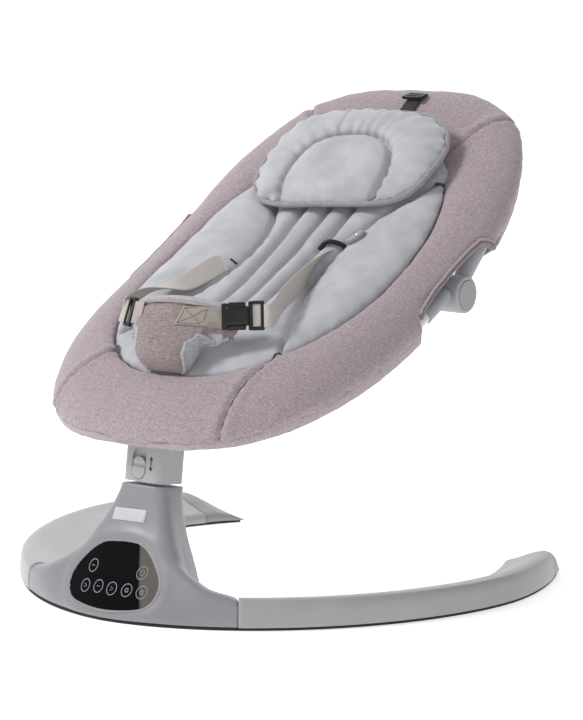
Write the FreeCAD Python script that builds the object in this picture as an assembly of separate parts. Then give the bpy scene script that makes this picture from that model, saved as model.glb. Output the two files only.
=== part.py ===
import FreeCAD, Part
import os
from math import sin, cos, tan, atan2, radians, degrees, pi, hypot, sqrt

os.makedirs("parts", exist_ok=True)
V = FreeCAD.Vector

# ----------------------------------------------------------------------------
# Driving dimensions (mm).  +Z up, +Y towards the head end, the row's origin is
# on the floor under the middle of the swing.  All shapes are drawn in a frame
# centred on the floor base's ellipse and moved by SHIFT_Y when they are written.
# ----------------------------------------------------------------------------
SHIFT_Y = 35.6

# floor base: a C of superellipse plan, open at the head end
BASE_RX, BASE_RY, BASE_N = 311.5, 342.3, 1.82
BASE_GROUND = 2.2          # underside of the shells, the rubber feet fill this gap
LEG_W = 64.0               # leg width
LEG_H = 34.0               # leg ridge height
SEAM_T = 59.3              # angle where console and legs meet
CAP_Y = 113.0              # the tip caps start here
TIP_Y = 158.0              # legs end here

# pedestal and swinging post: axis leans back by POST_TILT
POST_TILT = 8.0
POST_O = V(0, -250, 136)   # centre of the pedestal's top face
POST_HX, POST_HV, POST_R = 28.0, 22.0, 11.0
SLEEVE_W0, SLEEVE_W1 = 2.0, 44.0
SHAFT_R = 12.0
BUSH_CLEAR = 0.05

# seat: rim contour, crest contour and side profile
RIM_A, RIM_B, RIM_YC, RIM_N, RIM_EGG = 216.8, 280.8, -9.4, 2.855, 0.057
CREST_A, CREST_B, CREST_YC, CREST_N = 160.0, 205.0, -20.0, 2.3
HINGE_Y, HINGE_Z = 44.0, 329.0
PROF_ZH, PROF_YH, PROF_A1, PROF_A2, PROF_W = 348.1, 44.4, 21.79, 41.61, 107.9
TUBE_R, TUBE_RI = 6.6, 5.4
HUB_R = 21.0
HUB_X0, HUB_X1 = 178.0, 212.0
BUTTON_R = 16.4
BUTTON_TRAVEL = 3.0

SHAPES = {}


def put(name, shape):
    SHAPES[name] = shape


# ------------------------------------------------------------------ helpers
def sg(v):
    return -1.0 if v < 0 else 1.0


def se(t, a, b, n):
    c, s = cos(t), sin(t)
    return a * sg(c) * abs(c) ** (2.0 / n), b * sg(s) * abs(s) ** (2.0 / n)


def wire(pts):
    return Part.makePolygon(list(pts) + [pts[0]])


def loft(sections, ruled=False):
    return Part.makeLoft([wire(s) for s in sections], True, ruled)


def box(x0, x1, y0, y1, z0, z1):
    return Part.makeBox(x1 - x0, y1 - y0, z1 - z0, V(x0, y0, z0))


def cyl(r, p, q):
    p, q = V(*p), V(*q)
    d = q - p
    return Part.makeCylinder(r, d.Length, p, d)


def cone(r1, r2, p, q):
    p, q = V(*p), V(*q)
    d = q - p
    return Part.makeCone(r1, r2, d.Length, p, d)


def fuse(*shapes):
    s = shapes[0]
    if len(shapes) > 1:
        s = s.multiFuse(list(shapes[1:]))
    return s.removeSplitter()


def group(shapes):
    return Part.makeCompound(shapes)


def solid_of(shape):
    s = shape.Solids
    s.sort(key=lambda q: -q.Volume)
    return s[0]


def rrect(hx, hy, r, seg=5):
    """rounded rectangle outline as (x, y) pairs"""
    out = []
    for cx, cy, a0 in ((hx - r, hy - r, 0), (-hx + r, hy - r, 90), (-hx + r, -hy + r, 180), (hx - r, -hy + r, 270)):
        for i in range(seg + 1):
            a = radians(a0 + 90.0 * i / seg)
            out.append((cx + r * cos(a), cy + r * sin(a)))
    return out


def interp(x, xs, ys):
    if x <= xs[0]:
        return ys[0]
    for i in range(1, len(xs)):
        if x <= xs[i]:
            k = (x - xs[i - 1]) / (xs[i] - xs[i - 1])
            return ys[i - 1] + k * (ys[i] - ys[i - 1])
    return ys[-1]


def spline_face(pts):
    c = Part.BSplineCurve()
    c.interpolate(Points=pts, PeriodicFlag=True)
    return Part.Face(Part.Wire([c.toShape()]))


# post frame: x stays X, v is towards +Y across the post, w is up along the post
ct, st = cos(radians(POST_TILT)), sin(radians(POST_TILT))
AX_V, AX_W = V(0, ct, -st), V(0, st, ct)


def pf(x, v, w):
    return POST_O + V(x, 0, 0) + AX_V * v + AX_W * w


def post_prism(outline, w0, w1):
    f = Part.Face(wire([pf(x, v, w0) for x, v in outline]))
    return f.extrude(AX_W * (w1 - w0))


# ------------------------------------------------------------ base sections
def base_frame(t):
    p = se(t, BASE_RX, BASE_RY, BASE_N)
    e = 1e-3
    q = se(t + e, BASE_RX, BASE_RY, BASE_N)
    r = se(t - e, BASE_RX, BASE_RY, BASE_N)
    tx, ty = q[0] - r[0], q[1] - r[1]
    l = hypot(tx, ty)
    return p, (-ty / l, tx / l)      # inward normal for increasing t


def base_section(t, uc, zc, w, zi, k1, k2, hs=1.0):
    (px, py), (nx, ny) = base_frame(t)
    g = BASE_GROUND
    m = w - uc - 9.0
    uz = [
        (1.5, g), (0.0, 6.0), (uc * k1, 6 + (zc - 6) * 0.45), (uc * k2, 6 + (zc - 6) * 0.85),
        (uc * 0.92, zc - 0.8), (uc + 6.0, zc), (uc + 7 + m * 0.35, zc - (zc - zi) * 0.30),
        (uc + 7 + m * 0.70, zc - (zc - zi) * 0.70), (w - 2.5, zi + 1.0), (w, zi - 3.0), (w, g + 2.0), (w - 1.5, g),
    ]
    return [V(px + nx * u, py + ny * u, g + (z - g) * hs) for u, z in uz]


def leg_section(t, hs=1.0):
    return base_section(t, 9.0, LEG_H, LEG_W, 13.0, 0.05, 0.25, hs)


def console_section(t):
    x = abs(se(t, BASE_RX, BASE_RY, BASE_N)[0])
    xs = [0, 30, 60, 92, 120, 149]
    uc = interp(x, xs, [55, 52, 43, 28, 15, 9])
    zc = interp(x, xs, [96, 93, 80, 57, 41, LEG_H])
    w = interp(x, xs, [122, 118, 104, 84, 69, LEG_W])
    zi = interp(x, xs, [26, 25, 22, 17, 14, 13])
    k1 = interp(x, xs, [0.42, 0.42, 0.40, 0.30, 0.14, 0.05])
    k2 = interp(x, xs, [0.84, 0.84, 0.80, 0.62, 0.42, 0.25])
    return base_section(t, uc, zc, w, zi, k1, k2)


def rng(a, b, n):
    return [a + (b - a) * i / (n - 1.0) for i in range(n)]


# console shell: arc body plus pedestal
arc = loft([console_section(radians(t)) for t in rng(-90 - (90 - SEAM_T) + 0.1, -SEAM_T - 0.1, 15)])
ped_secs = []
for w, hx, hv, sh, r in ((-1.0, 29.5, 23.5, 0.0, 12), (-18, 31.5, 25.0, -0.5, 13), (-38, 35.0, 28.5, -2.0, 14),
                         (-58, 41.0, 34.0, -4.0, 17), (-80, 51.0, 38.0, -5.0, 20), (-112, 66.0, 40.0, -6.0, 24)):
    ped_secs.append([pf(x, v + sh, w) for x, v in rrect(hx, hv, r)])
ped = loft(ped_secs)
shell = fuse(arc, ped)


def moved(s, dx, dy, dz):
    c = s.copy()
    c.translate(V(dx, dy, dz))
    return c


PANEL = [(0, 80), (30, 75), (50, 58), (61, 38), (55, 22), (35, 15), (0, 12.5), (-35, 15), (-55, 22), (-61, 38), (-50, 58), (-30, 75)]


def panel_prism(grow):
    cx, cz = 0.0, 44.0
    pts = []
    for x, z in PANEL:
        d = hypot(x - cx, z - cz)
        k = (d + grow) / d
        pts.append(V(cx + (x - cx) * k, -360, cz + (z - cz) * k))
    return spline_face(pts).extrude(V(0, 90, 0))


prism_out, prism_in = panel_prism(2.6), panel_prism(0.0)
recess = shell.common(panel_prism(2.8)).cut(moved(shell, 0, 2.7, 0))
panel = shell.common(panel_prism(-0.2)).cut(moved(shell, 0, 2.4, 0))
bezel = moved(shell, 0, -0.6, 0).common(prism_out.cut(prism_in)).cut(moved(shell, 0, 2.4, 0))

cavity = box(-46, 46, -298, -238, BASE_GROUND - 1, 60)
bore = cyl(16.2, tuple(pf(0, 0, -95)), tuple(pf(0, 0, 5)))
housing = shell.cut(recess).cut(cavity).cut(bore)
# bosses for the bottom cover screws and the inlet's hole in the back wall
INLET_Z = 14.0
housing = housing.cut(cyl(7.2, (0, -250, INLET_Z), (0, -180, INLET_Z)))
cover_scr = [(-52, -292), (52, -292), (-52, -244), (52, -244)]
for x, y in cover_scr:
    housing = housing.cut(cyl(1.7, (x, y, 1), (x, y, 16)))
# the cover plate sits in a step of the housing's underside
housing = housing.cut(box(-57, 57, -303, -233, BASE_GROUND - 1, 5.0))
housing = solid_of(housing)
put("console_housing", housing)

cover = box(-56.6, 56.6, -302.6, -233.4, BASE_GROUND, 4.8)
for x, y in cover_scr:
    cover = cover.cut(cyl(1.8, (x, y, 1), (x, y, 6))).cut(cyl(3.3, (x, y, 1), (x, y, 3.8)))
for i in range(7):
    for j in range(2):
        cover = cover.cut(cyl(1.3, (-44 + i * 4.6, -268 + j * 5.0, 1), (-44 + i * 4.6, -268 + j * 5.0, 6)))
put("bottom_cover", cover.removeSplitter())
put("cover_screws", group([fuse(cyl(1.6, (x, y, 3.6), (x, y, 15)), cyl(3.0, (x, y, 2.4), (x, y, 3.7))) for x, y in cover_scr]))
put("touch_panel", solid_of(panel))
put("panel_bezel", solid_of(bezel))

# legs
for side, nm in ((1, "near"), (-1, "far")):
    arc_leg = loft([leg_section(radians(t)) for t in rng(-SEAM_T, 50.0, 34)])
    leg = arc_leg.common(box(100, 340, -400, CAP_Y, -5, 60))
    # the cap rounds down to the floor
    top = Part.BSplineCurve()
    top.interpolate([V(100, y, z) for y, z in ((CAP_Y + 0.15, 34.3), (120, 33.0), (128, 29.4), (136, 24.0), (144, 17.6), (151, 10.8), (156, 5.8), (TIP_Y, 3.0))])
    side_w = Part.Wire([top.toShape()] + [Part.makeLine(p, q) for p, q in ((V(100, TIP_Y, 3.0), V(100, TIP_Y, -5)), (V(100, TIP_Y, -5), V(100, CAP_Y + 0.15, -5)), (V(100, CAP_Y + 0.15, -5), V(100, CAP_Y + 0.15, 34.3)))])
    cap = arc_leg.common(Part.Face(side_w).extrude(V(240, 0, 0)))
    cap = solid_of(cap)
    if side < 0:
        leg = leg.mirror(V(0, 0, 0), V(1, 0, 0))
        cap = cap.mirror(V(0, 0, 0), V(1, 0, 0))
    put("leg_" + nm, solid_of(leg))
    put("leg_tip_" + nm, cap)

# rubber feet: round pads, flat on the floor
feet = []
for t in (-86, -55, -25, 0, 18, 28):
    (px, py), (nx, ny) = base_frame(radians(t))
    for s in (1, -1):
        if t == -86 and s == -1:
            px2 = -(px + nx * 30)
        else:
            px2 = s * (px + nx * 30)
        feet.append(cyl(11.0, (px2, py + ny * 30 + (0 if t > -80 else -3), 0), (px2, py + ny * 30 + (0 if t > -80 else -3), BASE_GROUND)))
put("rubber_feet", group(feet))

# electronics and drive inside the console
pcb = box(-42, 42, -296.6, -295.0, 10, 52)
for x in (-37, 37):
    for z in (15, 47):
        pcb = pcb.cut(cyl(1.6, (x, -300, z), (x, -290, z)))
chips = [box(-20, -6, -295.0, -292.6, 24, 38), box(8, 16, -295.0, -293.0, 28, 36)]
put("control_board", fuse(pcb, *chips))
put("pcb_screws", group([cyl(1.5, (x, -297.9, z), (x, -293.6, z)) for x in (-37, 37) for z in (15, 47)]))
spk = fuse(cyl(13.0, (-31, -265, 5.0), (-31, -265, 9)), cone(13.0, 8.0, (-31, -265, 9), (-31, -265, 15)), cyl(8.0, (-31, -265, 15), (-31, -265, 21)))
put("speaker", spk)
COIL = (0, -281)
coil = cyl(10.5, (COIL[0], COIL[1], 4.9), (COIL[0], COIL[1], 26)).cut(cyl(5.1, (COIL[0], COIL[1], 4), (COIL[0], COIL[1], 27)))
put("drive_coil", coil)
put("coil_core", cyl(5.0, (COIL[0], COIL[1], 4.9), (COIL[0], COIL[1], 28)))
inlet = fuse(cyl(7.0, (0, -236.5, INLET_Z), (0, -219.5, INLET_Z)), cyl(9.0, (0, -219.7, INLET_Z), (0, -217.7, INLET_Z)), box(-6, 6, -246, -238.3, INLET_Z - 6, INLET_Z + 6), cyl(6, (0, -238.5, INLET_Z), (0, -236, INLET_Z)))
inlet = inlet.cut(cyl(3.2, (0, -232, INLET_Z), (0, -210, INLET_Z)))
inlet = fuse(inlet, cyl(1.0, (0, -233, INLET_Z), (0, -219, INLET_Z)))
put("power_inlet", inlet)

# bushes in the pedestal bore
bushes = []
for w0, w1 in ((-14, -1.0), (-62, -50)):
    b = cyl(16.0, tuple(pf(0, 0, w0)), tuple(pf(0, 0, w1))).cut(cyl(SHAFT_R + BUSH_CLEAR, tuple(pf(0, 0, w0 - 1)), tuple(pf(0, 0, w1 + 1))))
    bushes.append(b)
put("post_bushes", group(bushes))

# ------------------------------------------------------------- swinging post
shaft = fuse(cyl(SHAFT_R, tuple(pf(0, 0, -82)), tuple(pf(0, 0, 36))), cyl(15.0, tuple(pf(0, 0, -70)), tuple(pf(0, 0, -62.3))))
put("swing_shaft", shaft)

arm_face = Part.Face(wire([pf(x, v, -92.0) for x, v in ((-13, 12), (13, 12), (14, -2), (9, -28), (-9, -28), (-14, -2))]))
arm = arm_face.extrude(AX_W * 10.0)
put("magnet_arm", arm)
mag = Part.Face(wire([pf(x, v, -98.8) for x, v in rrect(8.5, 8.0, 1.5)])).extrude(AX_W * 6.8)
mag.translate(AX_V * -18)
put("drive_magnet", mag)

sleeve = post_prism(rrect(POST_HX, POST_HV, POST_R, 8), SLEEVE_W0, SLEEVE_W1)
sleeve = sleeve.cut(cyl(SHAFT_R + 0.15, tuple(pf(0, 0, 0)), tuple(pf(0, 0, 36.2))))
LOCK_X, LOCK_W = -4.0, 22.0
slot_out = [(LOCK_X + x, LOCK_W + w) for x, w in rrect(9.6, 17.6, 9.4, 8)]
slot = Part.Face(wire([pf(x, -25, w) for x, w in slot_out])).extrude(AX_V * 7.0)
sleeve = sleeve.cut(slot)
br_scr = [(-20, -17.4), (20, -17.4), (-20, 17.4), (20, 17.4)]
for x, v in br_scr:
    sleeve = sleeve.cut(cyl(2.1, tuple(pf(x, v, 30)), tuple(pf(x, v, 45))))
put("post_sleeve", solid_of(sleeve))

knob_out = [(LOCK_X + x, LOCK_W - 5.0 + w) for x, w in rrect(8.6, 12.0, 8.2, 8)]
knob = Part.Face(wire([pf(x, -22.6, w) for x, w in knob_out])).extrude(AX_V * 4.3)
groove = cyl(5.0, tuple(pf(LOCK_X - 20, -26.2, LOCK_W - 1.0)), tuple(pf(LOCK_X + 20, -26.2, LOCK_W - 1.0)))
knob = knob.cut(groove)
rib = box(-7.0, 7.0, -0.5, 0.5, -0.45, 0.45)
put("lock_slider", solid_of(knob))


# --------------------------------------------------------------- seat frames
def prof(y):
    a1, a2 = tan(radians(PROF_A1)), tan(radians(PROF_A2))
    x = y - PROF_YH
    return PROF_ZH + 0.5 * (a1 + a2) * x + 0.5 * (a2 - a1) * (sqrt(x * x + PROF_W * PROF_W) - PROF_W)


def rim_pt(t):
    x, y = se(t, RIM_A, RIM_B, RIM_N)
    return x * (1 + RIM_EGG * sin(t)), y + RIM_YC


def crest_pt(t):
    x, y = se(t, CREST_A, CREST_B, CREST_N)
    return x, y + CREST_YC


def crest_h(t):
    s = sin(t)
    if s >= 0:
        return 44 - 16 * s ** 3
    return 44 - 6 * abs(s) ** 3


def tube_pt(t, r):
    e = 1e-3
    x, y = rim_pt(t)
    q, p = rim_pt(t + e), rim_pt(t - e)
    tx, ty = q[0] - p[0], q[1] - p[1]
    l = hypot(tx, ty)
    return x - ty / l * r * 1.0, y + tx / l * r * 1.0


# bent tube: circles lofted along the rim
def tube_path(ts, rs, dz):
    pts = []
    for t, r, d in zip(ts, rs, dz):
        x, y = tube_pt(radians(t), r)
        pts.append(V(x, y, prof(y) + d))
    return pts


def tube_loft(pts, r, dirs=None):
    ws = []
    n = len(pts)
    for i in range(n):
        if i == 0:
            d = pts[1] - pts[0]
        elif i == n - 1:
            d = pts[-1] - pts[-2]
        else:
            d = (pts[i + 1] - pts[i]).normalize() + (pts[i] - pts[i - 1]).normalize()
        d.normalize()
        # a fixed start direction keeps the circles' seams in line
        ref = V(0, 0, 1)
        a = ref.cross(d)
        a.normalize()
        c = Part.Circle(pts[i], d, r)
        c.XAxis = a
        ws.append(Part.Wire([c.toShape()]))
    return Part.makeLoft(ws, True, False)


def tube_hollow(pts):
    outer, inner = tube_loft(pts, TUBE_R), tube_loft(pts, TUBE_RI)
    return solid_of(outer.cut(inner))


low_ts = [-181.4, -179.6, -177.0] + [-172 + 164 * i / 18.0 for i in range(19)] + [-3.0, -0.4, 1.4]
lo_r = [interp(abs(t + 90), [0, 25, 60, 82, 91], [44, 37, 27, 21, 19.5]) for t in low_ts]
lo_d = [interp(abs(t + 90), [0, 30, 60, 82, 91], [-12, -8, -4.5, -3.5, -3.0]) for t in low_ts]
LOW_PTS = tube_path(low_ts, lo_r, lo_d)
put("lower_tube", tube_hollow(LOW_PTS))

up_ts = [13.6, 18.0, 24.0] + [30 + 120 * i / 18.0 for i in range(19)] + [156.0, 162.0, 166.4]
up_r = [interp(abs(t - 90), [0, 50, 66, 77], [24, 24, 22, 20]) for t in up_ts]
up_d = [interp(abs(t - 90), [0, 60, 77], [-6, -5, -4]) for t in up_ts]
UP_PTS = tube_path(up_ts, up_r, up_d)
put("upper_tube", tube_hollow(UP_PTS))

# recline hinges, one each side
DRUM_C = (HINGE_Y, HINGE_Z)


def ring_x(r, x0, x1, y=HINGE_Y, z=HINGE_Z):
    return cyl(r, (x0, y, z), (x1, y, z))


def mirrored(s):
    return s.mirror(V(0, 0, 0), V(1, 0, 0))


lowA, lowB = LOW_PTS[-1], LOW_PTS[-2]
upA, upB = UP_PTS[0], UP_PTS[1]


def ext(a, b, d):
    u = a - b
    u.normalize()
    return a + u * d


# upper half: drum, neck and socket round the upper tube's end
neck_root = V(193.5, HINGE_Y + 5, HINGE_Z + 5)
drum = ring_x(HUB_R, HUB_X0, HUB_X1)
try:
    drum = drum.makeFillet(3.0, [e for e in drum.Edges if e.BoundBox.XMin > HUB_X1 - 0.1])
except Exception:
    pass
sock_end = ext(upA, upB, -26.0)
sock_dir = (upB - upA)
sock_dir.normalize()
neck_top = upA - sock_dir * 3.0
neck = cone(10.0, 9.2, tuple(neck_root), tuple(neck_top))
sock = cyl(9.2, tuple(neck_top), tuple(upA + sock_dir * 13.0))
hub_u = fuse(drum, neck, Part.makeSphere(9.2, neck_top), sock)
hub_u = hub_u.cut(cyl(TUBE_R + 0.25, tuple(upA - sock_dir * 0.3), tuple(upA + sock_dir * 60)))
hub_u = hub_u.cut(ring_x(4.06, HUB_X0 - 1, 230)).cut(ring_x(7.4, 199.7, 230)).cut(ring_x(BUTTON_R + 0.4, 204.5, 230))
hub_u = solid_of(hub_u)

# lower half: inner disc, web and a round-nosed sleeve for the lower tube
low_dir = (lowB - lowA)
low_dir.normalize()
disc = ring_x(19.0, 155.0, HUB_X0 - 0.35)
slv_start = V(lowA.x, lowA.y, lowA.z) - low_dir * 9.0
nose = Part.makeSphere(8.4, slv_start)
sleeve_l = fuse(nose, cyl(8.4, tuple(slv_start), tuple(lowA + low_dir * 33.0)))
web = loft([[V(157, HINGE_Y - 10, HINGE_Z - 10), V(176, HINGE_Y - 10, HINGE_Z - 10), V(176, HINGE_Y - 10, HINGE_Z + 8), V(157, HINGE_Y - 10, HINGE_Z + 8)],
            [V(182, lowA.y - 8, lowA.z - 7), V(196, lowA.y - 8, lowA.z - 7), V(196, lowA.y - 8, lowA.z + 4), V(182, lowA.y - 8, lowA.z + 4)]], True)
hub_l = fuse(disc, web, sleeve_l)
hub_l = hub_l.cut(ring_x(HUB_R + 0.7, HUB_X0 - 0.35, 240)).cut(cyl(TUBE_R + 0.45, tuple(lowA - low_dir * 0.3), tuple(lowA + low_dir * 70)))
hub_l = hub_l.cut(ring_x(4.06, 150, 240))
hub_l = solid_of(hub_l)
bolt = fuse(ring_x(4.0, 150.0, 200.0), ring_x(7.0, 199.9, 203.6), ring_x(7.0, 150.0, 154.8))
btn = ring_x(BUTTON_R, 208.2, 213.2)
try:
    btn = btn.makeFillet(1.2, [e for e in btn.Edges if e.BoundBox.XMin > 213.1])
except Exception:
    pass
for s, nm in ((0, "near"), (1, "far")):
    f = mirrored if s else (lambda q: q)
    put("hinge_upper_" + nm, f(hub_u))
    put("hinge_lower_" + nm, f(hub_l))
    put("recline_button_" + nm, f(btn))
put("hinge_bolts", group([bolt, mirrored(bolt)]))

# bracket that clamps the lower tube on the post
TY, TZ = tube_pt(radians(-90), 44)[1], 0
TZ = prof(TY) - 12
brk = post_prism(rrect(26.0, 21.6, 7.0), SLEEVE_W1 + 0.1, 70.0)
brk = brk.cut(cyl(TUBE_R + 0.9, (-60, TY, TZ), (60, TY, TZ)))
for x, v in br_scr:
    brk = brk.cut(cyl(2.1, tuple(pf(x, v, 40)), tuple(pf(x, v, 80))))
put("seat_bracket", solid_of(brk))
put("bracket_screws", group([fuse(cyl(2.0, tuple(pf(x, v, 32)), tuple(pf(x, v, 70.5))), cyl(3.8, tuple(pf(x, v, 70.2)), tuple(pf(x, v, 72.8)))) for x, v in br_scr]))

# --------------------------------------------------------------- soft solids
RIM_FZ = [(0.012, -6, 0), (0.0, 2, 0), (0.05, 13, 0), (0.18, 27, 0), (0.40, 37, 1), (0.68, 43, 1), (0.9, 44, 1), (1.0, 38, 1),
          (1.0, 24, 1), (0.80, 18, 1), (0.45, 12, 0), (0.2, 1, 0), (0.07, -7, 0)]


def rim_section(t):
    ox, oy = rim_pt(t)
    ix, iy = crest_pt(t)
    c = crest_h(t) - 44.0
    out = []
    for f, d, k in RIM_FZ:
        x, y = ox + (ix - ox) * f, oy + (iy - oy) * f
        out.append(V(x, y, prof(y) + d + c * min(1.0, f * 1.4)))
    return out


def skirt_section(t):
    ox, oy = rim_pt(t)
    ix, iy = crest_pt(t)
    l = hypot(ix - ox, iy - oy)
    s = sin(t)
    w = 36.0 - (19.0 if s < 0 else 2.0) * abs(s) ** 4
    d = 20.0 - (8.0 if s < 0 else 0.0) * abs(s) ** 4
    rz = [(3.6, -9.2), (4.4, -9.2 - (d - 9.2) * 0.40), (7.5, -9.2 - (d - 9.2) * 0.75), (w * 0.5, -d + 0.8), (w, -d),
          (w, -d + 2.0), (w * 0.5, -d + 2.8), (9.5, -9.2 - (d - 9.2) * 0.55), (7.2, -9.2 - (d - 9.2) * 0.25), (6.4, -9.2)]
    out = []
    for r, z in rz:
        f = r / l
        x, y = ox + (ix - ox) * f, oy + (iy - oy) * f
        out.append(V(x, y, prof(y) + z))
    return out


GAP = 0.5
lower_half = box(-300, 300, -400, HINGE_Y - GAP, 0, 700)
upper_half = box(-300, 300, HINGE_Y + GAP, 400, 0, 700)

# side windows that show the hinges
win = [(-44, 240), (-44, 312), (-38, 318), (-28, 326), (60, 378), (74, 383), (88, 380), (100, 370), (108, 356), (112, 240)]


def window(x0, x1):
    return Part.Face(wire([V(x0, y, z) for y, z in win])).extrude(V(x1 - x0, 0, 0))


WIN = [window(152, 240), window(-240, -152)]


def soft(fn, t0, t1, n, half):
    s = loft([fn(radians(t)) for t in rng(t0, t1, n)])
    s = s.common(half)
    for w in WIN:
        s = s.cut(w)
    return s


for nm, t0, t1, half in (("lower", -204, 24, lower_half), ("upper", -16, 196, upper_half)):
    s = soft(rim_section, t0, t1, 33, half)
    put("cover_" + nm, solid_of(s))
    k = soft(skirt_section, t0, t1, 33, half)
    put("cover_skirt_" + nm, solid_of(k))


def dish(y):
    return interp(y, [-225, -190, -120, -20, 60, 130, 185], [36, 36, 36, 36, 36, 32, 26])


def insert_section(y):
    s = abs(y - CREST_YC) / CREST_B
    xb = CREST_A * max(0.0, (1 - s ** CREST_N)) ** (1 / CREST_N) - 3.0
    xb = max(xb, 18.0)
    c0 = dish(y)
    ce = interp(y, [-225, -100, 60, 185], [37, 42, 42, 30])
    top = []
    for k in (-1.0, -0.85, -0.62, -0.36, 0.0, 0.36, 0.62, 0.85, 1.0):
        d = c0 + (ce - c0) * abs(k) ** 2.2
        top.append((k * xb, prof(y) + d))
    bot = [(x, z - 15.0) for x, z in reversed(top)]
    return [V(x, y, z) for x, z in top + bot]


put("insert_lower", loft([insert_section(y) for y in [-222, -214, -204, -190, -165, -135, -100, -60, -20, 10, HINGE_Y - GAP]]))
put("insert_upper", loft([insert_section(y) for y in [HINGE_Y + GAP, 60, 85, 110, 135, 158, 172, 180]]))

# head pillow: a rounded slab laid on the backrest
PL_A = radians(39.5)
PL_Y, PL_L, PL_W = 124.0, 82.0, 122.0
PL_Z = prof(PL_Y) + 50.0
uh, un = V(0, cos(PL_A), sin(PL_A)), V(0, -sin(PL_A), cos(PL_A))


def pl(x, s, n):
    return V(0, PL_Y, PL_Z) + V(x, 0, 0) + uh * s + un * n


def pillow_outline(k):
    pts = []
    for x, s in ((0, -80), (50, -81), (92, -74), (112, -50), (121, -12), (118, 26), (100, 60), (62, 78), (0, 82)):
        pts.append((x * k, s * k))
    left = [(-x, s) for x, s in reversed(pts[1:-1])]
    return pts + left


pil = loft([[pl(x, s, n) for x, s in pillow_outline(k)] for k, n in ((0.90, 0.0), (0.985, 6.0), (1.0, 12.0), (0.97, 19.0), (0.86, 25.0))], True)
put("head_pillow", solid_of(pil))


# flat strap through a list of (point, width direction), rectangles lofted in order
def strap(pts, width, th):
    secs = []
    for i, (p, wd, nd) in enumerate(pts):
        p, wd, nd = V(*p), V(*wd), V(*nd)
        wd.normalize()
        nd.normalize()
        a, b = wd * (width / 2.0), nd * (th / 2.0)
        secs.append([p - a - b, p + a - b, p + a + b, p - a + b])
    return loft(secs, True)


# strap from the pillow over the head end, with its small buckle
hs = []
for y, d in ((196, 62), (214, 48), (232, 35), (246, 30.5)):
    hs.append(((0, y, prof(y) + d), (1, 0, 0), (0, -sin(radians(42)), cos(radians(42)))))
put("pillow_strap", strap(hs, 20.0, 1.6))
pb = Part.makeBox(25, 16, 5)
pb.translate(V(-12.5, -8, -2.5))
pb = pb.cut(Part.makeBox(20.6, 4.0, 8, V(-10.3, -6, -4))).cut(Part.makeBox(20.6, 4.0, 8, V(-10.3, 2, -4)))
pb.rotate(V(0, 0, 0), V(1, 0, 0), 8)
pb.translate(V(0, 257, prof(257) + 26.0))
put("pillow_buckle", pb)

# crotch pad and harness, all on the seat half
CP_A = radians(70.5)          # pad leans back from the upright
CP_RO, CP_TH = 110.0, 14.0    # the band wraps the hips
cu, cn = V(0, cos(CP_A), sin(CP_A)), V(0, -sin(CP_A), cos(CP_A))
CP_O = V(0, -215.1, 247.6)


def cp(x, s, n):
    return CP_O + V(x, 0, 0) + cu * s + cn * n


def bow(x):
    return CP_RO - (CP_RO * CP_RO - x * x) ** 0.5


band_out = [(0, 40), (50, 42), (62, 46), (66, 56), (66, 74), (60, 80), (30, 83), (0, 84), (-30, 83), (-60, 80), (-66, 74), (-66, 56), (-62, 46), (-50, 42)]
band = Part.Face(wire([cp(x, s_, -40) for x, s_ in band_out])).extrude(cn * 80.0)
axis_p, axis_q = tuple(cp(0, 0, 16 - CP_RO)), tuple(cp(0, 100, 16 - CP_RO))
band = band.common(cyl(CP_RO, axis_p, axis_q).cut(cyl(CP_RO - CP_TH, axis_p, axis_q)))


def pommel_section(z, yf, yb, w):
    m = (yf + yb) / 2.0
    return [V(-w * 0.6, yf, z), V(0, yf - 1.5, z), V(w * 0.6, yf, z), V(w, yf + (m - yf) * 0.5, z), V(w * 1.04, m, z), V(w, yb - (yb - m) * 0.3, z),
            V(w * 0.7, yb, z), V(-w * 0.7, yb, z), V(-w, yb - (yb - m) * 0.3, z), V(-w * 1.04, m, z), V(-w, yf + (m - yf) * 0.5, z)]


pommel = loft([pommel_section(*q) for q in ((264.0, -232, -215, 30), (271, -238, -203, 32), (280, -241, -198, 33.5), (288, -237, -196, 36), (294.5, -226, -196, 40), (298.5, -213, -197, 44))])
pad = band.fuse(pommel).removeSplitter()
put("crotch_pad", solid_of(pad))
WB = 25.0


def webat(x, s, n):
    p = cp(x, s, n - bow(x))
    nn = cn * ((CP_RO * CP_RO - x * x) ** 0.5 / CP_RO) + V(x / CP_RO, 0, 0)
    return (tuple(p), tuple(cu), tuple(nn))


put("crotch_webbing", strap([webat(x, 68, 17.4) for x in (-67, -55, -40, -25, -10, 0, 10, 25, 40, 55, 64)], WB, 1.6))
# side-release buckle at the near side
bk = Part.makeBox(38, 31, 11, V(0, -15.5, -5.5))
bk = bk.cut(Part.makeBox(5, 26.4, 13, V(28.5, -13.2, -6.5))).makeFillet(2.0, [e for e in Part.makeBox(38, 31, 11, V(0, -15.5, -5.5)).Edges if False]) if False else bk.cut(Part.makeBox(5, 26.4, 13, V(28.5, -13.2, -6.5)))
bk = bk.cut(Part.makeBox(3.6, 26.4, 3.0, V(-1, -13.2, -1.5)))


def place(shape, org, ex, ey, ez):
    m = FreeCAD.Matrix(ex.x, ey.x, ez.x, org.x, ex.y, ey.y, ez.y, org.y, ex.z, ey.z, ez.z, org.z, 0, 0, 0, 1)
    return shape.transformGeometry(m) if False else shape.transformed(m)


BN_O = cp(58.0, 68, 24.5 - bow(58.0))
ex = V(0.82, 0.57, 0.06)
ex.normalize()
ey = cu - ex * cu.dot(ex)
ey.normalize()
ez = ex.cross(ey)
put("buckle_near", place(bk, BN_O, ex, ey, ez))
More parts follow.
